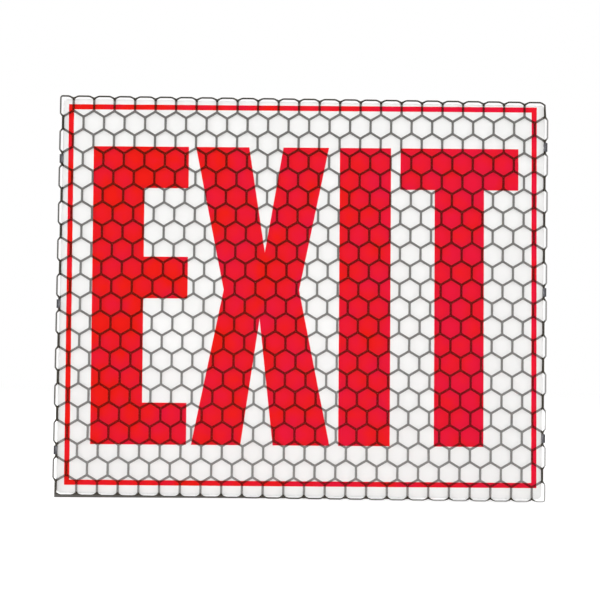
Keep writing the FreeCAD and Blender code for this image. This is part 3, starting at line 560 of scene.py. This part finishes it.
def circuit_board(tones):
    """Green board mask over tracks and a weave of glass."""
    material = surface("circuit_board")
    tracks = crystals(material, 130.0, "DISTANCE_TO_EDGE", "Distance", (1.0, 0.2, 1.0))
    paint(material, tracks, shade(tones.board, 1.9), tones.board, 0.05, 0.12)
    gloss(material, grain(material, 300.0), 0.25, 0.4)
    raised = relief(material, tracks, depth=0.00005, strength=0.3)
    weave = bands(material, 900.0, "DIAGONAL")
    relief(material, weave, depth=0.00001, strength=0.3, below=raised)
    return material


def nylon(tones):
    """Natural nylon, slightly waxy."""
    return textured("nylon", tones.nylon, patches=240.0, spread=0.05, rough=(0.4, 0.5),
                    texture=(1500.0,), depth=0.00002, strength=0.3,
                    Subsurface_Weight=0.1, Subsurface_Scale=0.001)


def ferrite(tones):
    """Sintered ferrite with a grainy ground face."""
    return textured("ferrite", tones.ferrite, patches=1800.0, spread=0.35, rough=(0.55, 0.75),
                    texture=(3500.0, 4.0), depth=0.00004, strength=0.6)


def winding_tape(tones):
    """Yellow polyester tape in overlapping turns."""
    material = surface("winding_tape")
    turns = bands(material, 110.0, "X")
    paint(material, turns, shade(tones.tape, 0.8), shade(tones.tape, 1.08), 0.1, 0.5)
    gloss(material, grain(material, 300.0), 0.2, 0.35)
    relief(material, turns, depth=0.0001, strength=0.5)
    return material


def capacitor_sleeve(tones):
    """Shrunk dark sleeve."""
    return textured("capacitor_sleeve", tones.sleeve, patches=160.0, spread=0.2, rough=(0.24, 0.36),
                    texture=(500.0, 3.0), depth=0.00006, strength=0.35)


def terminal_plastic(tones):
    """Green terminal plastic."""
    return textured("terminal_plastic", tones.terminal, patches=200.0, spread=0.1, rough=(0.36, 0.48),
                    texture=(2400.0, 2.0), depth=0.00003, strength=0.4)


def battery_wrap(tones):
    """Shrink wrap with fine creases along the cells."""
    return textured("battery_wrap", tones.wrap, patches=60.0, spread=0.12, rough=(0.16, 0.3),
                    texture=(180.0, 4.0, 0.6, (1.0, 6.0, 6.0)), depth=0.00015, strength=0.4,
                    Coat_Weight=0.3)


def button_red(tones):
    """Glossy red button plastic with fine scuffs."""
    return textured("button_red", tones.button, patches=300.0, spread=0.08, rough=(0.22, 0.36),
                    texture=(1800.0, 4.0, 0.6), depth=0.00002, strength=0.25)


def button_chrome(tones):
    """Bright plating with fine scratches."""
    return textured("button_chrome", tones.chrome, patches=700.0, spread=0.06, rough=(0.12, 0.26),
                    texture=(2600.0, 4.0, 0.6, (1.0, 1.0, 6.0)), depth=0.00001, strength=0.2,
                    Metallic=1.0)


def lamp_green(tones):
    """Green lens that lets some light through."""
    return textured("lamp_green", tones.lens, patches=500.0, spread=0.12, rough=(0.1, 0.2),
                    texture=(900.0,), depth=0.00002, strength=0.2,
                    Transmission_Weight=0.35, Coat_Weight=0.4)


def insulation(name, tone):
    """Soft plastic insulation with a faint mottle."""
    return textured(name, tone, patches=400.0, spread=0.1, rough=(0.42, 0.56),
                    texture=(1600.0,), depth=0.00003, strength=0.3)


def lead_red(tones):
    """Red insulation."""
    return insulation("lead_red", tones.lead_red)


def lead_grey(tones):
    """Grey insulation."""
    return insulation("lead_grey", tones.lead_grey)


FINISHES = (
    housing_plastic, opal_panel, red_film, guard_plastic, clip_steel, foam_seal, reflector_white,
    lamp_board, lamp_chip, zinc_steel, screw_steel, black_plastic, circuit_board, nylon, ferrite,
    winding_tape, capacitor_sleeve, terminal_plastic, battery_wrap, button_red, button_chrome,
    lamp_green, lead_red, lead_grey,
)


# Mesh helpers


def linked(bm, name):
    """Object in the scene from a bmesh, which is used up."""
    mesh = bpy.data.meshes.new(name)
    bm.to_mesh(mesh)
    bm.free()
    made = bpy.data.objects.new(name, mesh)
    bpy.context.scene.collection.objects.link(made)
    return made


def finish_piece(bm, name, body, node):
    """Piece from a bmesh, on its body, in its finish and in place of its node."""
    bmesh.ops.remove_doubles(bm, verts=bm.verts[:], dist=MERGE)
    bmesh.ops.recalc_face_normals(bm, faces=bm.faces[:])
    for face in bm.faces:
        face.smooth = True
    piece = linked(bm, name)
    piece.data.set_sharp_from_angle(angle=SHARP_ANGLE)
    piece.data.materials.append(frame["nodes"][node].data.materials[0])
    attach(piece, body)
    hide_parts(node)
    return piece


def round_off(bm, geometry, offset, segments=ROUND_SEGMENTS, affect="EDGES"):
    """Rounds edges or corners by a small radius."""
    bmesh.ops.bevel(bm, geom=geometry, offset=offset, offset_type="OFFSET", segments=segments,
                    profile=0.5, affect=affect, material=-1, clamp_overlap=True)


def creased_edges(bm, angle=CREASE_ANGLE):
    """Edges where two faces meet at a plain corner."""
    return [edge for edge in bm.edges
            if len(edge.link_faces) == 2 and edge.calc_face_angle(0.0) > angle]


def corners_in(items):
    """Corners among the parts of a mesh that an operator returns."""
    return [item for item in items if isinstance(item, bmesh.types.BMVert)]


def turned(bm, profile, origin, axis, steps=TURN_STEPS, closed=False):
    """Turned solid from (radius, height) points about an axis through the origin."""
    axis = Vector(axis).normalized()
    across = axis.orthogonal().normalized()
    points = [bm.verts.new(origin + across * radius + axis * height) for radius, height in profile]
    pairs = list(zip(points, points[1:]))
    if closed:
        pairs.append((points[-1], points[0]))
    edges = [bm.edges.new(pair) for pair in pairs]
    bmesh.ops.spin(bm, geom=points + edges, cent=origin, axis=axis, angle=math.tau, steps=steps,
                   use_merge=True)
    bmesh.ops.remove_doubles(bm, verts=bm.verts[:], dist=MERGE)
    bmesh.ops.recalc_face_normals(bm, faces=bm.faces[:])


def turned_piece(name, body, node, profile, origin, rounding, axis=UP, closed=False):
    """Piece turned about an axis, with its edges rounded."""
    bm = bmesh.new()
    turned(bm, profile, origin, axis, closed=closed)
    round_off(bm, creased_edges(bm), rounding)
    return finish_piece(bm, name, body, node)


def foot_of(low, high):
    """Point at height 0 on the upright line through the middle of a box."""
    middle = (low + high) / 2.0
    return Vector((middle.x, middle.y, 0.0))


# Honeycomb guard


def row_height(guard, row):
    """Height of the middle of a row of cells, counted from the bottom."""
    pitch = 2.0 * HOUSING_HIGH.z / (guard.rows - 1.0 / 3.0)
    return (row - (guard.rows - 1) / 2.0) * pitch


def lobe_side(guard, row):
    """End of a row where the part cell stands out."""
    return -1 if (guard.rows - 1 - row) % 2 == 0 else 1


def in_front(vert):
    """Whether a corner lies in the front half of the guard."""
    return vert.co.y < (GUARD_LOW.y + GUARD_HIGH.y) / 2.0


def cell_sheet(guard):
    """Flat sheet of six-sided cells at the front of the guard, still with its raw rim."""
    bm = bmesh.new()
    column_pitch = 2.0 * HOUSING_HIGH.x / (guard.columns - 0.5)
    row_pitch = row_height(guard, 1) - row_height(guard, 0)
    across = column_pitch / math.sqrt(3.0)
    upward = row_pitch * 2.0 / 3.0
    for row in range(guard.rows):
        first = HOUSING_LOW.x + (0.0 if lobe_side(guard, row) < 0 else 0.5) * column_pitch
        for column in range(guard.columns):
            x = first + column * column_pitch
            z = row_height(guard, row)
            cell = Matrix(((across, 0.0, 0.0, x), (0.0, 0.0, -1.0, GUARD_LOW.y),
                           (0.0, upward, 0.0, z), (0.0, 0.0, 0.0, 1.0)))
            bmesh.ops.create_circle(bm, cap_ends=True, radius=1.0, segments=6, matrix=cell)
    bmesh.ops.remove_doubles(bm, verts=bm.verts[:], dist=MERGE)
    backward = [face for face in bm.faces if face.normal.y > 0.0]
    bmesh.ops.reverse_faces(bm, faces=backward)
    return bm


def shape_rim(guard, bm):
    """Draws the part cells in to their lobes and the end rows in to their scallops."""
    side = GUARD_HIGH.x - guard.rim_edge
    row_pitch = row_height(guard, 1) - row_height(guard, 0)

    def end_of(height):
        """Where the scallops end above or below."""
        return GUARD_HIGH.z - guard.rim_edge if height > 0.0 else HOUSING_LOW.z - guard.foot_rise

    for vert in bm.verts:
        if abs(vert.co.x) > side:
            row = round((vert.co.z - row_height(guard, 0)) / row_pitch)
            middle = row_height(guard, row)
            above = math.copysign(1.0, vert.co.z - middle)
            vert.co.x = math.copysign(side, vert.co.x)
            vert.co.z = middle + above * guard.lobe_half_height
            if abs(vert.co.z) > HOUSING_HIGH.z:
                vert.co.z = end_of(vert.co.z) - math.copysign(guard.rim_corner, vert.co.z)
    peak_level = HOUSING_HIGH.z + row_pitch / 3.0 - MERGE
    roofs = [edge for edge in bm.edges
             if edge.is_boundary and any(abs(vert.co.z) > peak_level for vert in edge.verts)]
    peaks = set()
    for edge in roofs:
        foot, peak = sorted(edge.verts, key=lambda vert: abs(vert.co.z))
        peaks.add(peak)
        at_side = abs(foot.co.x) > side - guard.rim_edge
        inset = guard.rim_corner if at_side else guard.crown_corner
        corner = bmesh.utils.edge_split(edge, foot, 0.5)[1]
        corner.co.x = foot.co.x + math.copysign(inset, peak.co.x - foot.co.x)
        corner.co.z = end_of(peak.co.z)
    bmesh.ops.dissolve_verts(bm, verts=list(peaks))


def round_nodes(guard, bm):
    """Fillets where bars meet and rounded corners along the rim."""
    side = GUARD_HIGH.x - guard.bar_width
    lobes = [vert for vert in bm.verts if len(vert.link_edges) == 2 and abs(vert.co.x) > side]
    round_off(bm, lobes, guard.lobe_round, LOBE_SEGMENTS, "VERTICES")
    crowns = [vert for vert in bm.verts if len(vert.link_edges) == 2
              and abs(vert.co.z) > HOUSING_HIGH.z and abs(vert.co.x) < side - guard.lobe_round]
    round_off(bm, crowns, guard.crown_round, CROWN_SEGMENTS, "VERTICES")
    nodes = [vert for vert in bm.verts if not vert.is_boundary]
    round_off(bm, nodes, guard.node_round, NODE_SEGMENTS, "VERTICES")


def spot(point):
    """Place in the plane of the guard, as a key."""
    return (round(point.x, SPOT_DIGITS), round(point.z, SPOT_DIGITS))


def outward_steps(bm, distance):
    """How far each rim corner goes when the rim moves out, by its place."""
    normals = {}
    for edge in (edge for edge in bm.edges if edge.is_boundary):
        run = edge.verts[1].co - edge.verts[0].co
        normal = Vector((run.z, 0.0, -run.x)).normalized()
        middle = (edge.verts[0].co + edge.verts[1].co) / 2.0
        inward = edge.link_faces[0].calc_center_median() - middle
        if normal.dot(inward) > 0.0:
            normal.negate()
        for vert in edge.verts:
            normals.setdefault(vert, []).append(normal)
    return {spot(vert.co): (first + second) * (distance / (1.0 + first.dot(second)))
            for vert, (first, second) in normals.items()}


def cut_cells(guard, bm):
    """Cuts the cells out and leaves bars that are flat in front and taper to an edge behind."""
    thickness = GUARD_HIGH.y - GUARD_LOW.y
    smallest_cell = (3.0 * guard.bar_width) ** 2
    copy = bmesh.ops.duplicate(bm, geom=bm.verts[:] + bm.edges[:] + bm.faces[:])["geom"]
    bmesh.ops.translate(bm, verts=corners_in(copy), vec=(0.0, thickness, 0.0))
    cells = [face for face in bm.faces if face.calc_area() > smallest_cell]
    front = [face for face in cells if in_front(face.verts[0])]
    rear = [face for face in cells if not in_front(face.verts[0])]
    for faces, depth in ((front, 0.0), (rear, thickness)):
        bmesh.ops.inset_individual(bm, faces=faces, thickness=guard.bar_width / 2.0, depth=depth,
                                   use_even_offset=True)
    bmesh.ops.delete(bm, geom=front + rear, context="FACES")
    bmesh.ops.remove_doubles(bm, verts=bm.verts[:], dist=MERGE)


def draw_out(bm, edges, move):
    """Extrudes an edge loop and moves each new corner to its place."""
    made = bmesh.ops.extrude_edge_only(bm, edges=edges)["geom"]
    for vert in corners_in(made):
        vert.co = move(vert.co)
    return [item for item in made if isinstance(item, bmesh.types.BMEdge)
            and all(vert in made for vert in item.verts) and len(item.link_faces) == 1]


def wall_rim(guard, bm, steps):
    """Closes the rim with its outer part: out in front, back to the panel and home again."""
    back = GUARD_HIGH.y
    brim = HOUSING_LOW.z + MERGE
    shadow_foot_end = HOUSING_LOW.x - guard.rim_edge - guard.notch_fill
    scallops_low = HOUSING_LOW.z - guard.foot_rise - guard.rim_edge
    rim_of = {}

    def shadow_foot_line(x):
        """Height of the straight foot, a dark strip of painted shadow, lowest at the left."""
        share = (x - shadow_foot_end) / guard.shadow_foot_length
        return GUARD_LOW.z + (scallops_low - GUARD_LOW.z) * share

    def out(point):
        """Place on the outer edge: fuller where the rim steps in, and down on the foot of painted shadow.
        """
        moved = point + steps[spot(point)]
        beside = abs(abs(point.x) - HOUSING_HIGH.x) < MERGE
        above = abs(point.z - HOUSING_HIGH.z) < MERGE
        if beside and not above:
            moved.x += math.copysign(guard.notch_fill, moved.x)
        if above and not beside:
            moved.z += guard.notch_fill
        if point.z < brim:
            moved.z = min(moved.z, shadow_foot_line(moved.x))
        rim_of[spot(moved)] = (point.x, point.z)
        return moved

    def behind(point):
        """Place straight behind, at the panel."""
        return Vector((point.x, back, point.z))

    def home(point):
        """Place on the rim that a corner came from, at the panel."""
        x, z = rim_of[spot(point)]
        return Vector((x, back, z))

    edges = [edge for edge in bm.edges if edge.is_boundary and all(in_front(vert) for vert in edge.verts)]
    for move in (out, behind, home):
        edges = draw_out(bm, edges, move)
    bmesh.ops.remove_doubles(bm, verts=bm.verts[:], dist=MERGE)
    bmesh.ops.recalc_face_normals(bm, faces=bm.faces[:])


class EXITSIGN_OT_honeycomb_guard(bpy.types.Operator):
    """Model the honeycomb guard with its scalloped rim and its foot, a dark strip of painted shadow along
    the bottom-left edge
    """

    bl_idname = "exitsign.honeycomb_guard"
    bl_label = "Honeycomb guard"

    def execute(self, context):
        guard = context.scene.exit_guard
        bm = cell_sheet(guard)
        shape_rim(guard, bm)
        round_nodes(guard, bm)
        steps = outward_steps(bm, guard.rim_edge)
        cut_cells(guard, bm)
        wall_rim(guard, bm, steps)
        lips = [edge for edge in creased_edges(bm)
                if all(abs(vert.co.y - GUARD_LOW.y) < MERGE for vert in edge.verts)]
        round_off(bm, lips, guard.edge_round, LIP_SEGMENTS)
        finish_piece(bm, "honeycomb_guard", SIGN, "hex_guard")
        return {"FINISHED"}


class EXITSIGN_OT_guard_clips(bpy.types.Operator):
    """Model the bent steel clips that hold the guard"""

    bl_idname = "exitsign.guard_clips"
    bl_label = "Guard clips"

    def execute(self, context):
        guard = context.scene.exit_guard
        sheet = guard.clip_sheet
        leg = CLIPS_HIGH.x - sheet
        hook = GUARD_LOW.y
        barb = CLIPS_HIGH.y - sheet
        tip = HOUSING_HIGH.x - guard.clip_bite
        path = [(HOUSING_HIGH.x - guard.bar_width / 2.0, hook), (leg, hook), (leg, barb), (tip, barb)]
        bm = bmesh.new()
        for side in (-1, 1):
            stepped = [row for row in range(guard.rows) if lobe_side(guard, row) != side]
            for index in range(guard.clip_count):
                row = stepped[(2 * index + 1) * len(stepped) // (2 * guard.clip_count)]
                low = row_height(guard, row) - guard.clip_width / 2.0
                points = [bm.verts.new((side * x, y, low)) for x, y in path]
                for pair in zip(points, points[1:]):
                    bm.edges.new(pair)
                round_off(bm, points[1:-1], guard.clip_bend, BEND_SEGMENTS, "VERTICES")
                lines = [edge for edge in bm.edges if edge.is_wire]
                strip = bmesh.ops.extrude_edge_only(bm, edges=lines)["geom"]
                bmesh.ops.translate(bm, verts=corners_in(strip), vec=(0.0, 0.0, guard.clip_width))
        for face in bm.faces:
            middle = face.calc_center_median()
            inside = Vector((math.copysign(tip, middle.x), (hook + barb) / 2.0, middle.z))
            if face.normal.dot(middle - inside) > 0.0:
                face.normal_flip()
        bmesh.ops.solidify(bm, geom=bm.faces[:], thickness=sheet)
        bmesh.ops.recalc_face_normals(bm, faces=bm.faces[:])
        round_off(bm, creased_edges(bm, CLIP_CREASE_ANGLE), sheet * CLIP_ROUND, LIP_SEGMENTS)
        finish_piece(bm, "guard_clip_set", SIGN, "guard_clips")
        return {"FINISHED"}


# Fittings


def slotted_screw(fittings, seat, outward, upward):
    """Pan-head screw with a slot across its head."""
    bm = bmesh.new()
    reach = fittings.shank_length
    head = fittings.head_height
    radius = fittings.head_radius
    profile = [(0.0, -reach), (fittings.shank_radius, -reach), (fittings.shank_radius, 0.0),
               (radius, 0.0)]
    profile += [(radius * share, head * rise) for share, rise in SCREW_HEAD]
    axis = Vector(outward)
    turned(bm, profile, seat, axis, SCREW_STEPS)
    half_slot = fittings.slot_width / 2.0
    floor = head - fittings.slot_depth
    across = axis.cross(Vector(upward)).normalized()

    def on_floor(vert):
        """Whether a corner lies at the depth of the slot."""
        return abs((vert.co - seat).dot(axis) - floor) < 2.0 * MERGE

    for point, normal in ((seat + across * half_slot, across), (seat - across * half_slot, across),
                          (seat + axis * floor, axis)):
        geometry = bm.verts[:] + bm.edges[:] + bm.faces[:]
        bmesh.ops.bisect_plane(bm, geom=geometry, dist=MERGE, plane_co=point, plane_no=normal)
    gone = []
    for face in bm.faces:
        middle = face.calc_center_median() - seat
        if abs(middle.dot(across)) < half_slot and middle.dot(axis) > floor:
            gone.append(face)
    bmesh.ops.delete(bm, geom=gone, context="FACES")
    edges = [edge for edge in bm.edges if edge.is_boundary]
    floor_edges = []
    for side in (-1.0, 1.0):
        wall = [edge for edge in edges
                if all(abs((vert.co - seat).dot(across) - side * half_slot) < MERGE
                       for vert in edge.verts)]
        low = sorted({vert for edge in wall for vert in edge.verts if on_floor(vert)},
                     key=lambda vert: vert.co.dot(Vector(upward)))
        base = bm.edges.new((low[0], low[-1]))
        floor_edges.append(base)
        bmesh.ops.edgeloop_fill(bm, edges=wall + [base])
    ends = [edge for edge in edges if all(on_floor(vert) for vert in edge.verts)]
    bmesh.ops.edgeloop_fill(bm, edges=ends + floor_edges)
    return bm


class EXITSIGN_OT_side_screws(bpy.types.Operator):
    """Model the slotted screws in the sides of the housing"""

    bl_idname = "exitsign.side_screws"
    bl_label = "Side screws"

    def execute(self, context):
        fittings = context.scene.exit_fittings
        whole = bpy.data.meshes.new("side_screw_set")
        bm = bmesh.new()
        for side in (-1.0, 1.0):
            for height in (-fittings.screw_spread, fittings.screw_spread):
                seat = Vector((side * HOUSING_HIGH.x, -fittings.screw_depth, height))
                one = slotted_screw(fittings, seat, (side, 0.0, 0.0), SLOT_LIE)
                one.to_mesh(whole)
                one.free()
                bm.from_mesh(whole)
        bpy.data.meshes.remove(whole)
        finish_piece(bm, "side_screw_set", SIGN, "side_screws")
        return {"FINISHED"}


class EXITSIGN_OT_test_button(bpy.types.Operator):
    """Model the test button and the bush that guides it"""

    bl_idname = "exitsign.test_button"
    bl_label = "Test button and bush"

    def execute(self, context):
        fittings = context.scene.exit_fittings
        foot = foot_of(BUTTON_LOW, BUTTON_HIGH)
        tip = BUTTON_LOW.z
        radius = fittings.button_radius
        collar_top = BUTTON_HIGH.z - fittings.spigot_length
        collar_low = collar_top - fittings.collar_thickness
        profile = [(radius * share, tip + radius * rise) for share, rise in BUTTON_TIP]
        profile += [
            (radius, collar_low), (fittings.collar_radius, collar_low),
            (fittings.collar_radius, collar_top), (fittings.spigot_radius, collar_top),
            (fittings.spigot_radius, BUTTON_HIGH.z), (0.0, BUTTON_HIGH.z),
        ]
        turned_piece("test_button_cap", BUTTON, "test_button", profile, foot,
                     fittings.edge_round)
        low = BUSH_LOW.z
        flange_top = low + fittings.bush_flange
        flange_radius = (BUSH_HIGH.x - BUSH_LOW.x) / 2.0
        lip = fittings.bush_flange * BUSH_LIP
        profile = [
            (fittings.bush_bore, low + lip), (fittings.bush_bore + lip, low),
            (flange_radius - lip, low), (flange_radius, low + lip), (flange_radius, flange_top),
            (fittings.bush_radius, flange_top), (fittings.bush_radius, BUSH_HIGH.z),
            (fittings.bush_bore, BUSH_HIGH.z),
        ]
        turned_piece("button_bush_ring", SIGN, "button_bush", profile, foot,
                     fittings.edge_round / 2.0, closed=True)
        return {"FINISHED"}


class EXITSIGN_OT_button_spring(bpy.types.Operator):
    """Model the coil spring that the button presses together"""

    bl_idname = "exitsign.button_spring"
    bl_label = "Button spring"

    def execute(self, context):
        fittings = context.scene.exit_fittings
        wire = fittings.spring_wire
        middle = (SPRING_LOW + SPRING_HIGH) / 2.0
        coil = (BUTTON_HIGH.x - BUTTON_LOW.x) / 2.0 - SPRING_INSET
        free_length = SPRING_HIGH.z - SPRING_LOW.z
        rise = free_length - 2.0 * wire
        steps = fittings.spring_turns * COIL_STEPS
        bm = bmesh.new()
        start = Matrix.Translation((middle.x + coil, middle.y, SPRING_LOW.z + wire))
        start = start @ Matrix.Rotation(math.pi / 2.0, 4, "X")
        ring = bmesh.ops.create_circle(bm, cap_ends=True, radius=wire, segments=WIRE_SEGMENTS, matrix=start)
        bmesh.ops.spin(bm, geom=ring["verts"] + bm.edges[:] + bm.faces[:], cent=middle, axis=UP,
                       dvec=(0.0, 0.0, rise / steps), angle=math.tau * fittings.spring_turns, steps=steps)
        piece = finish_piece(bm, "button_spring_coil", SIGN, "button_spring")
        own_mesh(piece)
        return {"FINISHED"}


class EXITSIGN_OT_charge_lamp(bpy.types.Operator):
    """Model the domed charge lamp"""

    bl_idname = "exitsign.charge_lamp"
    bl_label = "Charge lamp"

    def execute(self, context):
        fittings = context.scene.exit_fittings
        radius = fittings.lamp_radius
        flange_radius = (LAMP_HIGH.x - LAMP_LOW.x) / 2.0
        seat = HOUSING_LOW.z + fittings.wall
        flange_top = seat + fittings.lamp_flange
        profile = []
        for step in range(DOME_STEPS + 1):
            turn = math.pi / 2.0 * step / DOME_STEPS
            rise = radius * DOME_RISE * (1.0 - math.cos(turn))
            profile.append((radius * math.sin(turn), LAMP_LOW.z + rise))
        profile += [(radius, seat), (flange_radius, seat), (flange_radius, flange_top),
                    (radius, flange_top), (radius, LAMP_HIGH.z), (0.0, LAMP_HIGH.z)]
        turned_piece("charge_lamp_lens", SIGN, "charge_lamp", profile,
                     foot_of(LAMP_LOW, LAMP_HIGH), fittings.edge_round)
        return {"FINISHED"}


class EXITSIGN_OT_entry_plug(bpy.types.Operator):
    """Model the plug in the conduit hole of the top wall"""

    bl_idname = "exitsign.entry_plug"
    bl_label = "Conduit plug"

    def execute(self, context):
        fittings = context.scene.exit_fittings
        top = PLUG_HIGH.z
        under = top - fittings.plug_cap
        cap = (PLUG_HIGH.x - PLUG_LOW.x) / 2.0
        outer = fittings.plug_radius
        inner = outer - fittings.plug_wall
        profile = [(cap * share, top - fittings.plug_cap * sunk) for share, sunk in PLUG_TOP]
        profile += [(cap, under), (outer, under), (outer, PLUG_LOW.z), (inner, PLUG_LOW.z),
                    (inner, under), (0.0, under)]
        turned_piece("entry_plug_cap", SIGN, "entry_plug", profile,
                     foot_of(PLUG_LOW, PLUG_HIGH), fittings.edge_round)
        return {"FINISHED"}


class EXITSIGN_OT_cable_bush(bpy.types.Operator):
    """Model the snap bush in the cable hole"""

    bl_idname = "exitsign.cable_bush"
    bl_label = "Cable bush"

    def execute(self, context):
        fittings = context.scene.exit_fittings
        outer = (GROMMET_HIGH.x - GROMMET_LOW.x) / 2.0
        deep = -GROMMET_LOW.y
        near = deep - fittings.cable_flange
        bore = fittings.cable_bore
        neck = fittings.cable_neck
        lip = (neck - bore) * CABLE_LIP
        profile = [
            (bore, lip), (bore + lip, 0.0), (neck - lip / 2.0, 0.0), (neck, lip / 2.0), (neck, near),
            (outer, near), (outer, deep), (bore + lip, deep), (bore, deep - lip),
        ]
        turned_piece("cable_bush_ring", SIGN, "cable_bush", profile, Vector(),
                     fittings.edge_round, axis=(0.0, -1.0, 0.0), closed=True)
        return {"FINISHED"}


# Finishes and stage


def slot_of(node):
    """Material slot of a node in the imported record."""
    return next(part["material_slot"] for part in frame["record"]["subparts"]
                if part["node"] == node)


class EXITSIGN_OT_finishes(bpy.types.Operator):
    """Make the finishes and put them on the parts that keep their own shape"""

    bl_idname = "exitsign.finishes"
    bl_label = "Finishes"

    def execute(self, context):
        tones = context.scene.exit_colours
        made = {make.__name__: make(tones) for make in FINISHES}
        for node, part in frame["nodes"].items():
            part.data.materials.clear()
            part.data.materials.append(made[slot_of(node)])
        return {"FINISHED"}


class EXITSIGN_OT_stage(bpy.types.Operator):
    """Set up the floor, the light and the camera"""

    bl_idname = "exitsign.stage"
    bl_label = "Stage"

    def execute(self, context):
        stage = context.scene.exit_stage
        self.make_floor(stage)
        self.make_world(context, stage)
        self.make_lights(context, stage)
        self.make_camera(context, stage)
        context.scene.view_settings.view_transform = "Standard"
        return {"FINISHED"}

    def seen(self, material):
        """Factor that is 1 where the eye, a mirror or a glass looks straight at the surface."""
        paths = add(material, "ShaderNodeLightPath")
        return largest(material, *(paths.outputs[name] for name in SEEN_BY))

    def make_floor(self, stage):
        """Round pale floor under the sign."""
        bm = bmesh.new()
        bmesh.ops.create_circle(bm, cap_ends=True, radius=FLOOR_RADIUS, segments=FLOOR_SEGMENTS,
                                matrix=Matrix.Translation((0.0, 0.0, GUARD_LOW.z - FLOOR_GAP)))
        floor = linked(bm, "floor")
        material = surface("pale_floor", Roughness=0.9, Specular_IOR_Level=0.0, Emission_Color=WHITE)
        paint(material, grain(material, 3.0), shade(stage.floor, 0.99), stage.floor)
        glow = level(material, self.seen(material), 0.0, FLOOR_GLOW, 0.0, 1.0)
        feed(material, glow, "Emission Strength")
        floor.data.materials.append(material)

    def make_world(self, context, stage):
        """White surroundings that light the sign at a plain level."""
        world = bpy.data.worlds.new("studio")
        world.use_nodes = True
        background = world.node_tree.nodes["Background"]
        background.inputs["Color"].default_value = WHITE
        join(world, level(world, self.seen(world), stage.ambient, 1.0, 0.0, 1.0),
             background.inputs["Strength"])
        context.scene.world = world

    def make_lights(self, context, stage):
        """Broad soft lights: one in front, and fainter ones at the sides, above and behind."""
        for name, spot_at, size, share in LIGHTS:
            data = bpy.data.lights.new(name, "AREA")
            data.shape = "DISK"
            data.size = size
            data.energy = stage.key_power * share
            light = bpy.data.objects.new(name, data)
            light.location = spot_at
            light.rotation_mode = "QUATERNION"
            light.rotation_quaternion = (-Vector(spot_at)).to_track_quat("-Z", "Y")
            context.scene.collection.objects.link(light)

    def make_camera(self, context, stage):
        """Long lens square on to the face."""
        data = bpy.data.cameras.new("camera")
        data.lens = stage.lens
        data.sensor_width = SENSOR_WIDTH
        data.clip_start = NEAREST_SEEN
        data.clip_end = FURTHEST_SEEN
        distance = stage.frame_width * stage.lens / data.sensor_width
        middle = (GUARD_LOW + GUARD_HIGH) / 2.0
        camera = bpy.data.objects.new("camera", data)
        away = Vector((0.0, -math.cos(stage.elevation), math.sin(stage.elevation))) * distance
        aim = Vector((middle.x + stage.offset_x, GUARD_LOW.y, middle.z + stage.offset_z))
        camera.location = aim + away
        turn = Matrix.Rotation(math.pi / 2.0 - stage.elevation, 4, "X")
        turn = turn @ Matrix.Rotation(stage.roll, 4, "Z")
        camera.rotation_euler = turn.to_euler()
        context.scene.collection.objects.link(camera)
        context.scene.camera = camera


GROUPS = (
    ("exit_guard", ExitGuardSizes), ("exit_fittings", ExitFittingSizes),
    ("exit_colours", ExitColours), ("exit_stage", ExitStage),
)
OPERATORS = (
    EXITSIGN_OT_finishes, EXITSIGN_OT_honeycomb_guard, EXITSIGN_OT_guard_clips,
    EXITSIGN_OT_side_screws, EXITSIGN_OT_test_button, EXITSIGN_OT_button_spring,
    EXITSIGN_OT_charge_lamp, EXITSIGN_OT_entry_plug, EXITSIGN_OT_cable_bush, EXITSIGN_OT_stage,
)


class EXITSIGN_PT_panel(bpy.types.Panel):
    """Steps and sizes of the exit sign"""

    bl_idname = "EXITSIGN_PT_panel"
    bl_label = "Exit sign"
    bl_space_type = "VIEW_3D"
    bl_region_type = "UI"
    bl_category = "Exit sign"

    def draw(self, context):
        layout = self.layout
        for operator in OPERATORS:
            layout.operator(operator.bl_idname)
        for name, _ in GROUPS:
            box = layout.box()
            values = getattr(context.scene, name)
            for key in values.__annotations__:
                box.prop(values, key)


def register():
    """Registers the sizes, the steps and the panel."""
    for name, group in GROUPS:
        bpy.utils.register_class(group)
        setattr(bpy.types.Scene, name, bpy.props.PointerProperty(type=group))
    for operator in OPERATORS:
        bpy.utils.register_class(operator)
    bpy.utils.register_class(EXITSIGN_PT_panel)


def unregister():
    """Takes the panel, the steps and the sizes away."""
    bpy.utils.unregister_class(EXITSIGN_PT_panel)
    for operator in reversed(OPERATORS):
        bpy.utils.unregister_class(operator)
    for name, group in reversed(GROUPS):
        delattr(bpy.types.Scene, name)
        bpy.utils.unregister_class(group)


def main():
    """Registers the steps and dresses the sign with them."""
    register()
    bpy.ops.exitsign.finishes()
    bpy.ops.exitsign.honeycomb_guard()
    bpy.ops.exitsign.guard_clips()
    bpy.ops.exitsign.side_screws()
    bpy.ops.exitsign.test_button()
    bpy.ops.exitsign.button_spring()
    bpy.ops.exitsign.charge_lamp()
    bpy.ops.exitsign.entry_plug()
    bpy.ops.exitsign.cable_bush()
    bpy.ops.exitsign.stage()


if __name__ == "__main__":
    main()
